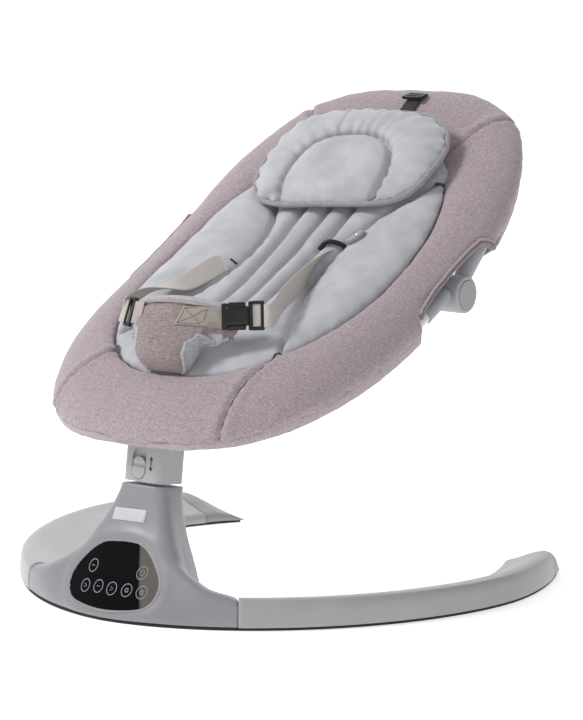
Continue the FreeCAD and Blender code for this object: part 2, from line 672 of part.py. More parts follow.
# rectangular ring at the far side
rg = Part.makeBox(6, 33, 5, V(-6, -16.5, -2.5)).fuse(Part.makeBox(14, 33, 5, V(-18, -16.5, -2.5))).removeSplitter()
rg = rg.cut(Part.makeBox(4, 26.4, 8, V(-6.0, -13.2, -4))).cut(Part.makeBox(4, 26.4, 8, V(-15, -13.2, -4)))
RF_O = cp(-66.0, 68, 20.6 - bow(66.0))
exf = V(1.0, -0.62, 0.0)
exf.normalize()
eyf = cu - exf * cu.dot(exf)
eyf.normalize()
ezf = exf.cross(eyf)
put("buckle_far", place(rg, RF_O, exf, eyf, ezf))

# waist straps from the buckles back to their slots in the insert
bn = BN_O + ex * 31.0
nseat = V(0, -sin(radians(26)), cos(radians(26)))


def surf(x, y, d):
    return (x, y, prof(y) + d)


put("waist_strap_near", strap([((bn.x, bn.y, bn.z), tuple(ey), tuple(ez)),
                               (surf(84, -128, 68), (0.75, -0.05, 0.62), (-0.55, -0.35, 0.75)),
                               (surf(76, -95, 58), (0.95, 0.1, 0.25), (-0.25, -0.40, 0.88)),
                               (surf(66, -64, 49), (0.97, 0.18, 0.10), (-0.1, -0.42, 0.9)),
                               (surf(58, -36, 45), (0.96, 0.2, 0.08), (-0.08, -0.45, 0.9))], WB, 1.6))
rf = RF_O - exf * 13.0
put("waist_strap_far", strap([((rf.x, rf.y, rf.z), tuple(eyf), tuple(ezf)),
                              (surf(-88, -128, 68), (-0.75, -0.05, 0.62), (0.55, -0.35, 0.75)),
                              (surf(-82, -95, 58), (-0.95, 0.1, 0.25), (0.25, -0.40, 0.88)),
                              (surf(-74, -64, 49), (-0.97, 0.18, 0.10), (0.1, -0.42, 0.9)),
                              (surf(-66, -40, 45), (-0.96, 0.2, 0.08), (0.08, -0.45, 0.9))], WB, 1.6))

# ------------------------------------------------------------------- output
for name, shape in SHAPES.items():
    s = shape.copy()
    s.translate(V(0, SHIFT_Y, 0))
    s.exportStep("parts/%s.step" % name)
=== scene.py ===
import math
from math import sin, cos, tan, radians, pi, hypot, sqrt, atan2

import bmesh
import bpy
import numpy as np
from mathutils import Matrix, Vector, noise
from mathutils.bvhtree import BVHTree


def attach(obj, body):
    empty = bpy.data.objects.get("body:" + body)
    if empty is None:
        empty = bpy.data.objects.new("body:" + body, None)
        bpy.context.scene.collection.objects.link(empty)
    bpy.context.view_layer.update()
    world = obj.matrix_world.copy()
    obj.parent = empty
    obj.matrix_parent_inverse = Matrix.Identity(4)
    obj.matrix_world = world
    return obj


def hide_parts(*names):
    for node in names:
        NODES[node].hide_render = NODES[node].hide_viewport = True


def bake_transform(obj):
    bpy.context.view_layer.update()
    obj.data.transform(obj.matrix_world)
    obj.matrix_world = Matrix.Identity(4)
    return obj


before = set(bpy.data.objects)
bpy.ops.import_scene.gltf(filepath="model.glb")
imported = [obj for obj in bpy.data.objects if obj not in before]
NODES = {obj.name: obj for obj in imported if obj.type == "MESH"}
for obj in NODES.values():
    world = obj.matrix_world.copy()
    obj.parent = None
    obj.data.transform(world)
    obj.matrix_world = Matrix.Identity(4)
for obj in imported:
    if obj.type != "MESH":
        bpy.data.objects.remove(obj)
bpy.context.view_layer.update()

DY = 35.6                      # the drawing frame's shift along Y, in mm


def P(x, y, z):
    """a point drawn in millimetres, in the row frame in metres"""
    return Vector((x / 1000.0, (y + DY) / 1000.0, z / 1000.0))


# ---------------------------------------------------------------- geometry
RIM_A, RIM_B, RIM_YC, RIM_N, RIM_EGG = 216.8, 280.8, -9.4, 2.855, 0.057
CREST_A, CREST_B, CREST_YC, CREST_N = 160.0, 205.0, -20.0, 2.3
HINGE_Y, HINGE_Z = 44.0, 329.0
POST_O = Vector((0, -250, 136))
CT, ST = cos(radians(8)), sin(radians(8))
BASE_RX, BASE_RY, BASE_N = 311.5, 342.3, 1.82
LEG_W, LEG_H = 64.0, 34.0
SEAM_T, CAP_Y, TIP_Y = 59.3, 113.0, 158.0


def sg(v):
    return -1.0 if v < 0 else 1.0


def se(t, a, b, n):
    c, s = cos(t), sin(t)
    return a * sg(c) * abs(c) ** (2.0 / n), b * sg(s) * abs(s) ** (2.0 / n)


def prof(y):
    a1, a2 = tan(radians(21.79)), tan(radians(41.61))
    x = y - 44.4
    return 348.1 + 0.5 * (a1 + a2) * x + 0.5 * (a2 - a1) * (sqrt(x * x + 107.9 * 107.9) - 107.9)


def slope(y):
    return math.atan((prof(y + 1) - prof(y - 1)) / 2.0)


def rim_pt(t):
    x, y = se(t, RIM_A, RIM_B, RIM_N)
    return x * (1 + RIM_EGG * sin(t)), y + RIM_YC


def crest_pt(t):
    x, y = se(t, CREST_A, CREST_B, CREST_N)
    return x, y + CREST_YC


def crest_h(t):
    s = sin(t)
    return 44 - 16 * s ** 3 if s >= 0 else 44 - 6 * abs(s) ** 3


def interp(x, xs, ys):
    return float(np.interp(x, xs, ys))


def pf(x, v, w):
    return (x, POST_O.y + v * CT + w * ST, POST_O.z - v * ST + w * CT)


def chaikin(pts, n=2, closed=True):
    pts = [tuple(p) for p in pts]
    for _ in range(n):
        out = []
        m = len(pts)
        rng = range(m) if closed else range(m - 1)
        if not closed:
            out.append(pts[0])
        for i in rng:
            a, b = pts[i], pts[(i + 1) % m]
            out.append(tuple(0.75 * p + 0.25 * q for p, q in zip(a, b)))
            out.append(tuple(0.25 * p + 0.75 * q for p, q in zip(a, b)))
        if not closed:
            out.append(pts[-1])
        pts = out
    return pts


def catmull(pts, per=8, closed=False):
    pts = [np.array(p, float) for p in pts]
    n = len(pts)
    out = []
    rng = range(n) if closed else range(n - 1)
    for i in rng:
        p0 = pts[(i - 1) % n] if closed or i > 0 else 2 * pts[0] - pts[1]
        p1, p2 = pts[i], pts[(i + 1) % n]
        p3 = pts[(i + 2) % n] if closed or i + 2 < n else 2 * pts[-1] - pts[-2]
        for k in range(per):
            t = k / per
            out.append(0.5 * ((2 * p1) + (-p0 + p2) * t + (2 * p0 - 5 * p1 + 4 * p2 - p3) * t * t + (-p0 + 3 * p1 - 3 * p2 + p3) * t ** 3))
    if not closed:
        out.append(pts[-1])
    return out


# ---------------------------------------------------------------- mesh tools
def make(name, verts, faces, mats=(), smooth=True, uvs=None):
    me = bpy.data.meshes.new(name)
    me.from_pydata([tuple(v) for v in verts], [], faces)
    me.validate()
    o = bpy.data.objects.new(name, me)
    bpy.context.scene.collection.objects.link(o)
    for m in mats:
        me.materials.append(m)
    if smooth:
        me.polygons.foreach_set("use_smooth", [True] * len(me.polygons))
    if uvs is not None:
        layer = me.uv_layers.new(name="UVMap")
        for poly in me.polygons:
            for li in poly.loop_indices:
                layer.data[li].uv = uvs[me.loops[li].vertex_index]
    me.update()
    return o


def grid_faces(n, m, wrap_n=False, wrap_m=True, flip=False):
    f = []
    for i in range(n if wrap_n else n - 1):
        for j in range(m if wrap_m else m - 1):
            a, b = i * m + j, i * m + (j + 1) % m
            c, d = ((i + 1) % n) * m + (j + 1) % m, ((i + 1) % n) * m + j
            f.append((a, d, c, b) if flip else (a, b, c, d))
    return f


def fix_normals(o):
    bm = bmesh.new()
    bm.from_mesh(o.data)
    bmesh.ops.recalc_face_normals(bm, faces=bm.faces)
    bm.to_mesh(o.data)
    bm.free()


def loft_obj(name, sections, mats, wrap_n=False, cap=True):
    n, m = len(sections), len(sections[0])
    v = [p for s in sections for p in s]
    f = grid_faces(n, m, wrap_n, True)
    if cap and not wrap_n:
        f.append(tuple(range(m)))
        f.append(tuple((n - 1) * m + i for i in range(m - 1, -1, -1)))
    o = make(name, v, f, mats)
    fix_normals(o)
    return o


def apply_mods(o):
    dg = bpy.context.evaluated_depsgraph_get()
    dg.update()
    me = bpy.data.meshes.new_from_object(o.evaluated_get(dg))
    old = o.data
    o.modifiers.clear()
    o.data = me
    if old.users == 0:
        bpy.data.meshes.remove(old)
    return o


def remesh(o, size):
    m = o.modifiers.new("r", "REMESH")
    m.mode = "VOXEL"
    m.voxel_size = size
    m.use_smooth_shade = True
    return apply_mods(o)


def subdiv(o, levels=1):
    m = o.modifiers.new("s", "SUBSURF")
    m.levels = m.render_levels = levels
    return apply_mods(o)


def smooth_mesh(o, it=5, fac=0.5, weight=None):
    """plain Laplacian smoothing, with an optional weight for each vertex"""
    me = o.data
    n = len(me.vertices)
    co = np.empty(n * 3)
    me.vertices.foreach_get("co", co)
    co = co.reshape(-1, 3)
    e = np.empty(len(me.edges) * 2, int)
    me.edges.foreach_get("vertices", e)
    e = e.reshape(-1, 2)
    deg = np.bincount(e.ravel(), minlength=n).astype(float)
    deg[deg == 0] = 1
    w = np.ones(n) if weight is None else weight
    for _ in range(it):
        acc = np.zeros_like(co)
        for k in range(3):
            acc[:, k] = np.bincount(e[:, 0], co[e[:, 1], k], n) + np.bincount(e[:, 1], co[e[:, 0], k], n)
        co += (acc / deg[:, None] - co) * (fac * w)[:, None]
    me.vertices.foreach_set("co", co.ravel())
    me.update()


def get_co(o):
    co = np.empty(len(o.data.vertices) * 3)
    o.data.vertices.foreach_get("co", co)
    return co.reshape(-1, 3)


def set_co(o, co):
    o.data.vertices.foreach_set("co", np.ascontiguousarray(co).ravel())
    o.data.update()


def get_no(o):
    no = np.empty(len(o.data.vertices) * 3)
    o.data.vertices.foreach_get("normal", no)
    return no.reshape(-1, 3)


def puff(o, pressure=4.0, frames=20, cap=0.008, pin=None, stiff=20):
    """cloth with inner pressure, gravity off, its movement capped, applied to the mesh"""
    before = get_co(o)
    bpy.context.view_layer.objects.active = o
    if pin is not None:
        g = o.vertex_groups.new(name="pin")
        for i in np.nonzero(pin > 0)[0]:
            g.add([int(i)], float(pin[i]), "REPLACE")
    m = o.modifiers.new("cloth", "CLOTH")
    s = m.settings
    s.quality = 4
    s.mass = 0.2
    s.use_pressure = True
    s.uniform_pressure_force = pressure
    s.tension_stiffness = stiff
    s.compression_stiffness = stiff
    s.shear_stiffness = 5
    s.bending_stiffness = 0.6
    s.effector_weights.gravity = 0
    m.collision_settings.use_collision = False
    if pin is not None:
        s.vertex_group_mass = "pin"
    m.point_cache.frame_start, m.point_cache.frame_end = 1, frames
    sc = bpy.context.scene
    for f in range(1, frames + 1):
        sc.frame_set(f)
    dg = bpy.context.evaluated_depsgraph_get()
    me = bpy.data.meshes.new_from_object(o.evaluated_get(dg))
    co = np.empty(len(me.vertices) * 3)
    me.vertices.foreach_get("co", co)
    co = co.reshape(-1, 3)
    bpy.data.meshes.remove(me)
    o.modifiers.clear()
    o.vertex_groups.clear()
    sc.frame_set(1)
    d = co - before
    l = np.linalg.norm(d, axis=1)
    k = np.where(l > cap, cap / np.maximum(l, 1e-9), 1.0)
    set_co(o, before + d * k[:, None])


def tube(name, pts, r, mat, closed=False, seg=10, flat=1.0, up=None):
    """a round or oval cord of mesh along points (metres)"""
    pts = [Vector(p) for p in pts]
    n = len(pts)
    v = []
    prev = None
    for i, p in enumerate(pts):
        a = pts[(i - 1) % n] if closed or i > 0 else p
        b = pts[(i + 1) % n] if closed or i < n - 1 else p
        d = (b - a).normalized()
        ref = Vector(up) if up is not None else (prev if prev is not None else (Vector((0, 0, 1)) if abs(d.z) < 0.9 else Vector((1, 0, 0))))
        x = (ref - d * ref.dot(d)).normalized()
        prev = x
        y = d.cross(x)
        for k in range(seg):
            g = 2 * pi * k / seg
            v.append(p + x * (cos(g) * r * flat) + y * (sin(g) * r))
    f = grid_faces(n, seg, closed, True)
    if not closed:
        f.append(tuple(range(seg)))
        f.append(tuple((n - 1) * seg + i for i in range(seg - 1, -1, -1)))
    o = make(name, v, f, [mat])
    fix_normals(o)
    return o


def dist_poly(xy, line):
    """distance of points (n,2) from a polyline"""
    line = np.array(line, float)
    best = np.full(len(xy), 1e9)
    for a, b in zip(line[:-1], line[1:]):
        ab = b - a
        t = np.clip(((xy - a) @ ab) / max(ab @ ab, 1e-9), 0, 1)
        q = a + t[:, None] * ab
        best = np.minimum(best, np.hypot(*(xy - q).T))
    return best


def fbm(co, scale, seed=0.0):
    return np.array([noise.fractal(Vector((c[0] * scale + seed, c[1] * scale + seed * 1.7, c[2] * scale - seed)), 1.0, 2.0, 3) for c in co])


# ---------------------------------------------------------------- materials
def new_mat(name):
    m = bpy.data.materials.new(name)
    m.use_nodes = True
    nt = m.node_tree
    nt.nodes.clear()
    out = nt.nodes.new("ShaderNodeOutputMaterial")
    b = nt.nodes.new("ShaderNodeBsdfPrincipled")
    nt.links.new(b.outputs[0], out.inputs[0])
    return m, nt, b


def node(nt, kind, **kw):
    n = nt.nodes.new(kind)
    for k, v in kw.items():
        setattr(n, k, v)
    return n


def mapped(nt, scale, rot=(0, 0, 0), source="Object"):
    tc = node(nt, "ShaderNodeTexCoord")
    mp = node(nt, "ShaderNodeMapping")
    mp.inputs["Scale"].default_value = scale
    mp.inputs["Rotation"].default_value = rot
    nt.links.new(tc.outputs[source], mp.inputs[0])
    return mp.outputs[0]


def noise_tex(nt, vec, scale, detail=2.0, rough=0.5):
    n = node(nt, "ShaderNodeTexNoise")
    n.inputs["Scale"].default_value = scale
    n.inputs["Detail"].default_value = detail
    n.inputs["Roughness"].default_value = rough
    nt.links.new(vec, n.inputs["Vector"])
    return n.outputs["Fac"]


def ramp(nt, fac, stops):
    r = node(nt, "ShaderNodeValToRGB")
    el = r.color_ramp.elements
    while len(el) < len(stops):
        el.new(0.5)
    for e, (p, c) in zip(el, stops):
        e.position = p
        e.color = (*c, 1.0)
    nt.links.new(fac, r.inputs[0])
    return r.outputs[0]


def mixc(nt, a, b, fac, mode="MIX"):
    m = node(nt, "ShaderNodeMix", data_type="RGBA", blend_type=mode)
    if isinstance(fac, float):
        m.inputs[0].default_value = fac
    else:
        nt.links.new(fac, m.inputs[0])
    for s, v in ((6, a), (7, b)):
        if isinstance(v, tuple):
            m.inputs[s].default_value = (*v, 1.0)
        else:
            nt.links.new(v, m.inputs[s])
    return m.outputs[2]


def math_node(nt, op, a, b=None):
    m = node(nt, "ShaderNodeMath", operation=op)
    for i, v in enumerate((a, b)):
        if v is None:
            continue
        if isinstance(v, (int, float)):
            m.inputs[i].default_value = v
        else:
            nt.links.new(v, m.inputs[i])
    return m.outputs[0]


def bump(nt, bsdf, height, strength, dist):
    b = node(nt, "ShaderNodeBump")
    b.inputs["Strength"].default_value = strength
    b.inputs["Distance"].default_value = dist
    nt.links.new(height, b.inputs["Height"])
    nt.links.new(b.outputs[0], bsdf.inputs["Normal"])


def s2l(r, g, b):
    return tuple((c / 255.0 / 12.92) if c / 255.0 <= 0.04045 else ((c / 255.0 + 0.055) / 1.055) ** 2.4 for c in (r, g, b))


def mat_melange(name, dark, light, tint, size=1.0, sheen=0.25, bump_d=0.0006):
    """two-tone slub weave: short threads both ways over a mottled ground"""
    m, nt, b = new_mat(name)
    n1 = noise_tex(nt, mapped(nt, (900 / size, 900 / size, 170 / size)), 1.0, 2.0, 0.6)
    n2 = noise_tex(nt, mapped(nt, (170 / size, 260 / size, 900 / size)), 1.0, 2.0, 0.6)
    n3 = noise_tex(nt, mapped(nt, (1, 1, 1)), 90.0 / size, 2.0, 0.5)
    s = math_node(nt, "ADD", n1, n2)
    s = math_node(nt, "MULTIPLY", s, 0.5)
    c = ramp(nt, s, [(0.36, dark), (0.50, tuple(0.5 * (p + q) for p, q in zip(dark, light))), (0.63, light)])
    c = mixc(nt, c, tint, math_node(nt, "MULTIPLY", n3, 0.30))
    nt.links.new(c, b.inputs["Base Color"])
    b.inputs["Roughness"].default_value = 0.9
    b.inputs["Sheen Weight"].default_value = sheen
    b.inputs["Sheen Roughness"].default_value = 0.5
    b.inputs["Specular IOR Level"].default_value = 0.2
    bump(nt, b, s, 0.55, bump_d)
    return m


def mat_velvet(name, c1, c2):
    m, nt, b = new_mat(name)
    n1 = noise_tex(nt, mapped(nt, (1, 1, 1)), 28.0, 3.0, 0.55)
    n2 = noise_tex(nt, mapped(nt, (1300, 1300, 700)), 1.0, 1.0, 0.5)
    c = ramp(nt, n1, [(0.35, c1), (0.65, c2)])
    nt.links.new(c, b.inputs["Base Color"])
    b.inputs["Roughness"].default_value = 0.82
    b.inputs["Sheen Weight"].default_value = 0.45
    b.inputs["Sheen Roughness"].default_value = 0.35
    b.inputs["Specular IOR Level"].default_value = 0.18
    h = math_node(nt, "ADD", math_node(nt, "MULTIPLY", n1, 0.8), math_node(nt, "MULTIPLY", n2, 0.35))
    bump(nt, b, h, 0.35, 0.0012)
    return m


def mat_webbing(name, c1, c2, pitch=700.0):
    m, nt, b = new_mat(name)
    vec = mapped(nt, (1, 1, 1), source="UV")
    w = node(nt, "ShaderNodeTexWave", wave_type="BANDS", bands_direction="DIAGONAL", wave_profile="SIN")
    w.inputs["Scale"].default_value = pitch
    w.inputs["Distortion"].default_value = 1.2
    nt.links.new(vec, w.inputs["Vector"])
    n = noise_tex(nt, mapped(nt, (1, 1, 1)), 900.0, 2.0)
    f = math_node(nt, "ADD", math_node(nt, "MULTIPLY", w.outputs["Fac"], 0.7), math_node(nt, "MULTIPLY", n, 0.5))
    c = ramp(nt, f, [(0.25, c1), (0.8, c2)])
    nt.links.new(c, b.inputs["Base Color"])
    b.inputs["Roughness"].default_value = 0.72
    b.inputs["Sheen Weight"].default_value = 0.2
    bump(nt, b, f, 0.5, 0.0005)
    return m


def mat_plastic(name, col, rough=0.42, grain=0.12, var=0.05, coat=0.0, tex=1800.0):
    m, nt, b = new_mat(name)
    n = noise_tex(nt, mapped(nt, (1, 1, 1)), 14.0, 3.0)
    f = noise_tex(nt, mapped(nt, (1, 1, 1)), tex, 2.0)
    c1 = tuple(max(0.0, c * (1 - var)) for c in col)
    c2 = tuple(min(1.0, c * (1 + var)) for c in col)
    nt.links.new(ramp(nt, n, [(0.35, c1), (0.65, c2)]), b.inputs["Base Color"])
    r = node(nt, "ShaderNodeMapRange")
    r.inputs["To Min"].default_value = rough - 0.05
    r.inputs["To Max"].default_value = rough + 0.06
    nt.links.new(n, r.inputs["Value"])
    nt.links.new(r.outputs[0], b.inputs["Roughness"])
    if coat:
        b.inputs["Coat Weight"].default_value = coat
        b.inputs["Coat Roughness"].default_value = 0.1
    bump(nt, b, f, grain, 0.0002)
    return m


def mat_metal(name, col, rough=0.25, metallic=1.0):
    m, nt, b = new_mat(name)
    n = noise_tex(nt, mapped(nt, (60, 60, 900)), 1.0, 2.0)
    b.inputs["Metallic"].default_value = metallic
    nt.links.new(ramp(nt, n, [(0.3, tuple(c * 0.93 for c in col)), (0.7, col)]), b.inputs["Base Color"])
    r = node(nt, "ShaderNodeMapRange")
    r.inputs["To Min"].default_value = max(0.04, rough - 0.06)
    r.inputs["To Max"].default_value = rough + 0.06
    nt.links.new(n, r.inputs["Value"])
    nt.links.new(r.outputs[0], b.inputs["Roughness"])
    return m


COVER = mat_melange("cover_melange", s2l(136, 121, 126), s2l(200, 186, 190), s2l(172, 157, 162), size=0.62)
SKIRT = mat_melange("skirt_melange", s2l(150, 136, 140), s2l(206, 193, 196), s2l(182, 168, 172), size=0.62)
LINEN = mat_melange("pad_linen", s2l(112, 98, 99), s2l(182, 168, 168), s2l(146, 131, 131), size=0.8, sheen=0.15, bump_d=0.0008)
BIND = mat_melange("binding", s2l(150, 138, 140), s2l(190, 180, 181), s2l(170, 158, 160), size=0.7)
BINDW = mat_melange("window_binding", s2l(112, 104, 105), s2l(158, 149, 150), s2l(134, 126, 127), size=0.6)
# dark seam cord colour, also used for the painted-shade band under the cover–insert gap
SEAM_AND_GAP_SHADE = mat_melange("seam_cord_and_gap_shade", s2l(80, 70, 74), s2l(120, 108, 112), s2l(100, 90, 94), size=0.5)
BIND_PILLOW = mat_melange("pillow_binding", s2l(140, 133, 140), s2l(182, 176, 182), s2l(160, 153, 160), size=0.7)
LINING = mat_melange("pad_lining", s2l(150, 150, 155), s2l(205, 205, 208), s2l(178, 178, 184), size=0.8)
VELVET = mat_velvet("insert_velvet", s2l(184, 185, 190), s2l(200, 200, 205))
VELVET_P = mat_velvet("pillow_velvet", s2l(182, 183, 189), s2l(199, 199, 204))
WEB = mat_webbing("webbing_beige", s2l(186, 177, 168), s2l(222, 214, 206))
WEBD = mat_webbing("webbing_patch", s2l(160, 150, 142), s2l(200, 190, 182))
WEBK = mat_webbing("webbing_black", (0.01, 0.01, 0.01), (0.035, 0.035, 0.037))
THREAD = mat_plastic("stitch_thread", s2l(120, 112, 108), 0.8, 0.2)
SHELL = mat_plastic("shell_grey", s2l(148, 147, 152), 0.36, 0.06)
LEG = mat_plastic("leg_grey", s2l(168, 168, 167), 0.34, 0.06)
TIP = mat_plastic("tip_grey", s2l(148, 148, 150), 0.40, 0.08)
POST = mat_plastic("post_grey", s2l(174, 173, 175), 0.5, 0.12)
HINGE = mat_plastic("hinge_grey", s2l(168, 170, 174), 0.45, 0.10)
BUTTON = mat_plastic("button_grey", s2l(158, 157, 158), 0.40, 0.08)
# rubber of the feet, also used for the painted-shade strip under the base
RUBBER_AND_GAP_SHADE = mat_plastic("foot_rubber_and_gap_shade", (0.02, 0.02, 0.02), 0.75, 0.3)
BLACKP = mat_plastic("black_plastic", (0.010, 0.010, 0.011), 0.34, 0.12)
def mat_panel_painted_reflection():
    m, nt, b = new_mat("panel_gloss_painted_reflection")
    tc = node(nt, "ShaderNodeTexCoord")
    sp = node(nt, "ShaderNodeSeparateXYZ")
    nt.links.new(tc.outputs["Object"], sp.inputs[0])
    n = noise_tex(nt, tc.outputs["Object"], 22.0, 3.0)
    # painted reflection: the base colour runs from black to a brownish grey across the panel, standing in for the room
    # reflected in the gloss
    f = math_node(nt, "MULTIPLY", math_node(nt, "SUBTRACT", math_node(nt, "ADD", sp.outputs[0], math_node(nt, "MULTIPLY", sp.outputs[2], 0.42)), 0.0530), 300.0)
    c = ramp(nt, f, [(0.0, (0.004, 0.004, 0.005)), (0.55, s2l(92, 85, 80)), (1.0, s2l(112, 106, 100))])
    c = mixc(nt, c, (0.0, 0.0, 0.0), math_node(nt, "MULTIPLY", n, 0.25))
    nt.links.new(c, b.inputs["Base Color"])
    b.inputs["Roughness"].default_value = 0.12
    b.inputs["Specular IOR Level"].default_value = 0.12
    return m


PANEL = mat_panel_painted_reflection()
ICON = mat_plastic("icon_print", s2l(150, 150, 158), 0.4, 0.0)
MARK = mat_plastic("printed_mark", (0.03, 0.03, 0.03), 0.5, 0.0)
LABEL = mat_plastic("blank_label", s2l(206, 206, 208), 0.35, 0.0)
BOARD = mat_plastic("board", (0.01, 0.12, 0.05), 0.4, 0.1)
CHROME = mat_metal("bezel_bright", (0.86, 0.86, 0.87), 0.12)
STEEL = mat_metal("steel", (0.6, 0.6, 0.62), 0.3)
COPPER = mat_metal("copper", (0.7, 0.32, 0.16), 0.3)
WHITE = mat_plastic("tube_white", s2l(226, 226, 236), 0.22, 0.03, coat=0.5)
BUSH = mat_plastic("bush_plastic", s2l(220, 220, 215), 0.5, 0.1)
DARK = mat_plastic("gap_dark", (0.01, 0.01, 0.01), 0.8, 0.1)

CAD_MATS = {
    "console_housing": SHELL, "bottom_cover": SHELL, "cover_screws": STEEL, "touch_panel": PANEL, "panel_bezel": CHROME,
    "leg_near": LEG, "leg_far": LEG, "leg_tip_near": TIP, "leg_tip_far": TIP, "rubber_feet": RUBBER_AND_GAP_SHADE, "control_board": BOARD,
    "pcb_screws": STEEL, "speaker": BLACKP, "drive_coil": COPPER, "coil_core": STEEL, "power_inlet": BLACKP, "post_bushes": BUSH,
    "swing_shaft": STEEL, "magnet_arm": BLACKP, "drive_magnet": STEEL, "post_sleeve": POST, "seat_bracket": BLACKP,
    "bracket_screws": STEEL, "lower_tube": WHITE, "upper_tube": WHITE, "hinge_lower_near": HINGE, "hinge_lower_far": HINGE,
    "hinge_upper_near": HINGE, "hinge_upper_far": HINGE, "hinge_bolts": STEEL, "recline_button_near": BUTTON,
    "recline_button_far": BUTTON, "lock_slider": POST,
}
for n, m in CAD_MATS.items():
    o = NODES[n]
    o.data.materials.clear()
    o.data.materials.append(m)


# ---------------------------------------------------------------- camera
CAM_C = (2094.4, -2752.0, 776.9)
a, e = radians(37.28), radians(8.808)
bvec = Vector((sin(a) * cos(e), -cos(a) * cos(e), sin(e)))
rvec = Vector((cos(a), sin(a), 0))
uvec = bvec.cross(rvec)
cc = Vector((-0.65, 0, 241.04)) + bvec * 3500.0
cam = bpy.data.cameras.new("camera")
cam_o = bpy.data.objects.new("camera", cam)
bpy.context.scene.collection.objects.link(cam_o)
cam.sensor_fit = "VERTICAL"
cam.sensor_height = 24.0
cam.lens = 3043.8 / 720.0 * 24.0
cam.clip_end = 50
rot = Matrix((rvec, uvec, bvec)).transposed().to_4x4()
cam_o.matrix_world = Matrix.Translation(P(*cc)) @ rot
bpy.context.scene.camera = cam_o


# ---------------------------------------------------------------- floor base
def base_frame(t):
    p = se(t, BASE_RX, BASE_RY, BASE_N)
    d = 1e-3
    q, r = se(t + d, BASE_RX, BASE_RY, BASE_N), se(t - d, BASE_RX, BASE_RY, BASE_N)
    tx, ty = q[0] - r[0], q[1] - r[1]
    l = hypot(tx, ty)
    return p, (-ty / l, tx / l)


def section_uz(uc, zc, w, zi, k1, k2):
    m = w - uc - 9.0
    return [
        (1.5, 2.2), (0.0, 6.0), (uc * k1, 6 + (zc - 6) * 0.45), (uc * k2, 6 + (zc - 6) * 0.85),
        (uc * 0.92, zc - 0.8), (uc + 6.0, zc), (uc + 7 + m * 0.35, zc - (zc - zi) * 0.30),
        (uc + 7 + m * 0.70, zc - (zc - zi) * 0.70), (w - 2.5, zi + 1.0), (w, zi - 3.0), (w, 4.2), (w - 1.5, 2.2),
    ]


def base_ring(t, uz):
    (px, py), (nx, ny) = base_frame(t)
    return [P(px + nx * u, py + ny * u, z) for u, z in uz]


LEG_UZ = chaikin(section_uz(9.0, LEG_H, LEG_W, 13.0, 0.05, 0.25), 2)


def mirror_x(v):
    return Vector((-v.x, v.y, v.z))


def cut_y(o, y, keep_low):
    """cuts a solid at a plane of constant y and closes the cut"""
    bm = bmesh.new()
    bm.from_mesh(o.data)
    geom = list(bm.verts) + list(bm.edges) + list(bm.faces)
    res = bmesh.ops.bisect_plane(bm, geom=geom, plane_co=P(0, y, 0), plane_no=(0, 1, 0), clear_outer=keep_low, clear_inner=not keep_low)
    edges = [g for g in res["geom_cut"] if isinstance(g, bmesh.types.BMEdge)]
    bmesh.ops.holes_fill(bm, edges=edges)
    bmesh.ops.recalc_face_normals(bm, faces=bm.faces)
    bm.to_mesh(o.data)
    bm.free()


TIP_TOP = [(113, 34.3), (120, 33.0), (128, 29.4), (136, 24.0), (144, 17.6), (151, 10.8), (156, 5.8), (158, 3.2)]
for side, nm in ((1, "near"), (-1, "far")):
    def arc(t1, n):
        q = [base_ring(radians(t), LEG_UZ) for t in np.linspace(-SEAM_T + 0.08, t1, n)]
        return [[mirror_x(v) for v in ring] for ring in q] if side < 0 else q
    o = loft_obj("leg_shell_" + nm, arc(50.0, 150), [LEG])
    cut_y(o, CAP_Y - 0.2, True)
    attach(o, "base"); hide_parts("leg_" + nm)
    # tip cap: it rounds down to the floor
    o = loft_obj("leg_cap_" + nm, arc(50.0, 150)[90:], [TIP])
    cut_y(o, CAP_Y + 0.4, False)
    cut_y(o, TIP_Y - 0.3, True)
    remesh(o, 0.0018)
    mm = get_co(o) * 1000 - np.array([0, DY, 0])
    prf = TIP_TOP if side > 0 else [(113, 34.3), (122, 36.6), (130, 34.8), (138, 30.4), (146, 23.4), (152, 15.6), (156, 8.6), (158, 3.4)]
    top = np.interp(mm[:, 1], [q[0] for q in prf], [q[1] for q in prf])
    k = np.clip((top - 2.2) / 32.1, 0.02, 1.0)
    mm[:, 2] = 2.2 + (mm[:, 2] - 2.2) * k
    set_co(o, (mm + np.array([0, DY, 0])) / 1000)
    smooth_mesh(o, 5, 0.5, np.clip((mm[:, 1] - CAP_Y - 2.0) / 3.0, 0, 1))
    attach(o, "base"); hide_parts("leg_tip_" + nm)
    # thin dark strip under the shell: painted shade for the shadow gap above the floor
    uz = [(2.5, 0.4), (2.5, 2.9), (61.5, 2.9), (61.5, 0.4)]
    secs = [base_ring(radians(t), uz) for t in np.linspace(-89.9, 50.0, 150)]
    if side < 0:
        secs = [[mirror_x(v) for v in s] for s in secs]
    o = loft_obj("painted_shade_strip_" + nm, secs, [RUBBER_AND_GAP_SHADE])
    cut_y(o, TIP_Y - 4.0, True)
    for p in o.data.polygons:
        p.use_smooth = False
    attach(o, "base")

# console shell, one smooth body
XS = [0, 30, 60, 92, 120, 149]


def console_uz(t):
    x = abs(se(t, BASE_RX, BASE_RY, BASE_N)[0])
    return section_uz(interp(x, XS, [55, 52, 43, 28, 15, 9]), interp(x, XS, [96, 93, 80, 57, 41, LEG_H]),
                      interp(x, XS, [122, 118, 104, 84, 69, LEG_W]), interp(x, XS, [26, 25, 22, 17, 14, 13]),
                      interp(x, XS, [0.42, 0.42, 0.40, 0.30, 0.14, 0.05]), interp(x, XS, [0.84, 0.84, 0.80, 0.62, 0.42, 0.25]))


secs = [base_ring(radians(t), chaikin(console_uz(radians(t)), 2)) for t in np.linspace(-90 - (90 - SEAM_T), -SEAM_T, 90)]
arc = loft_obj("console_shell", secs, [SHELL])


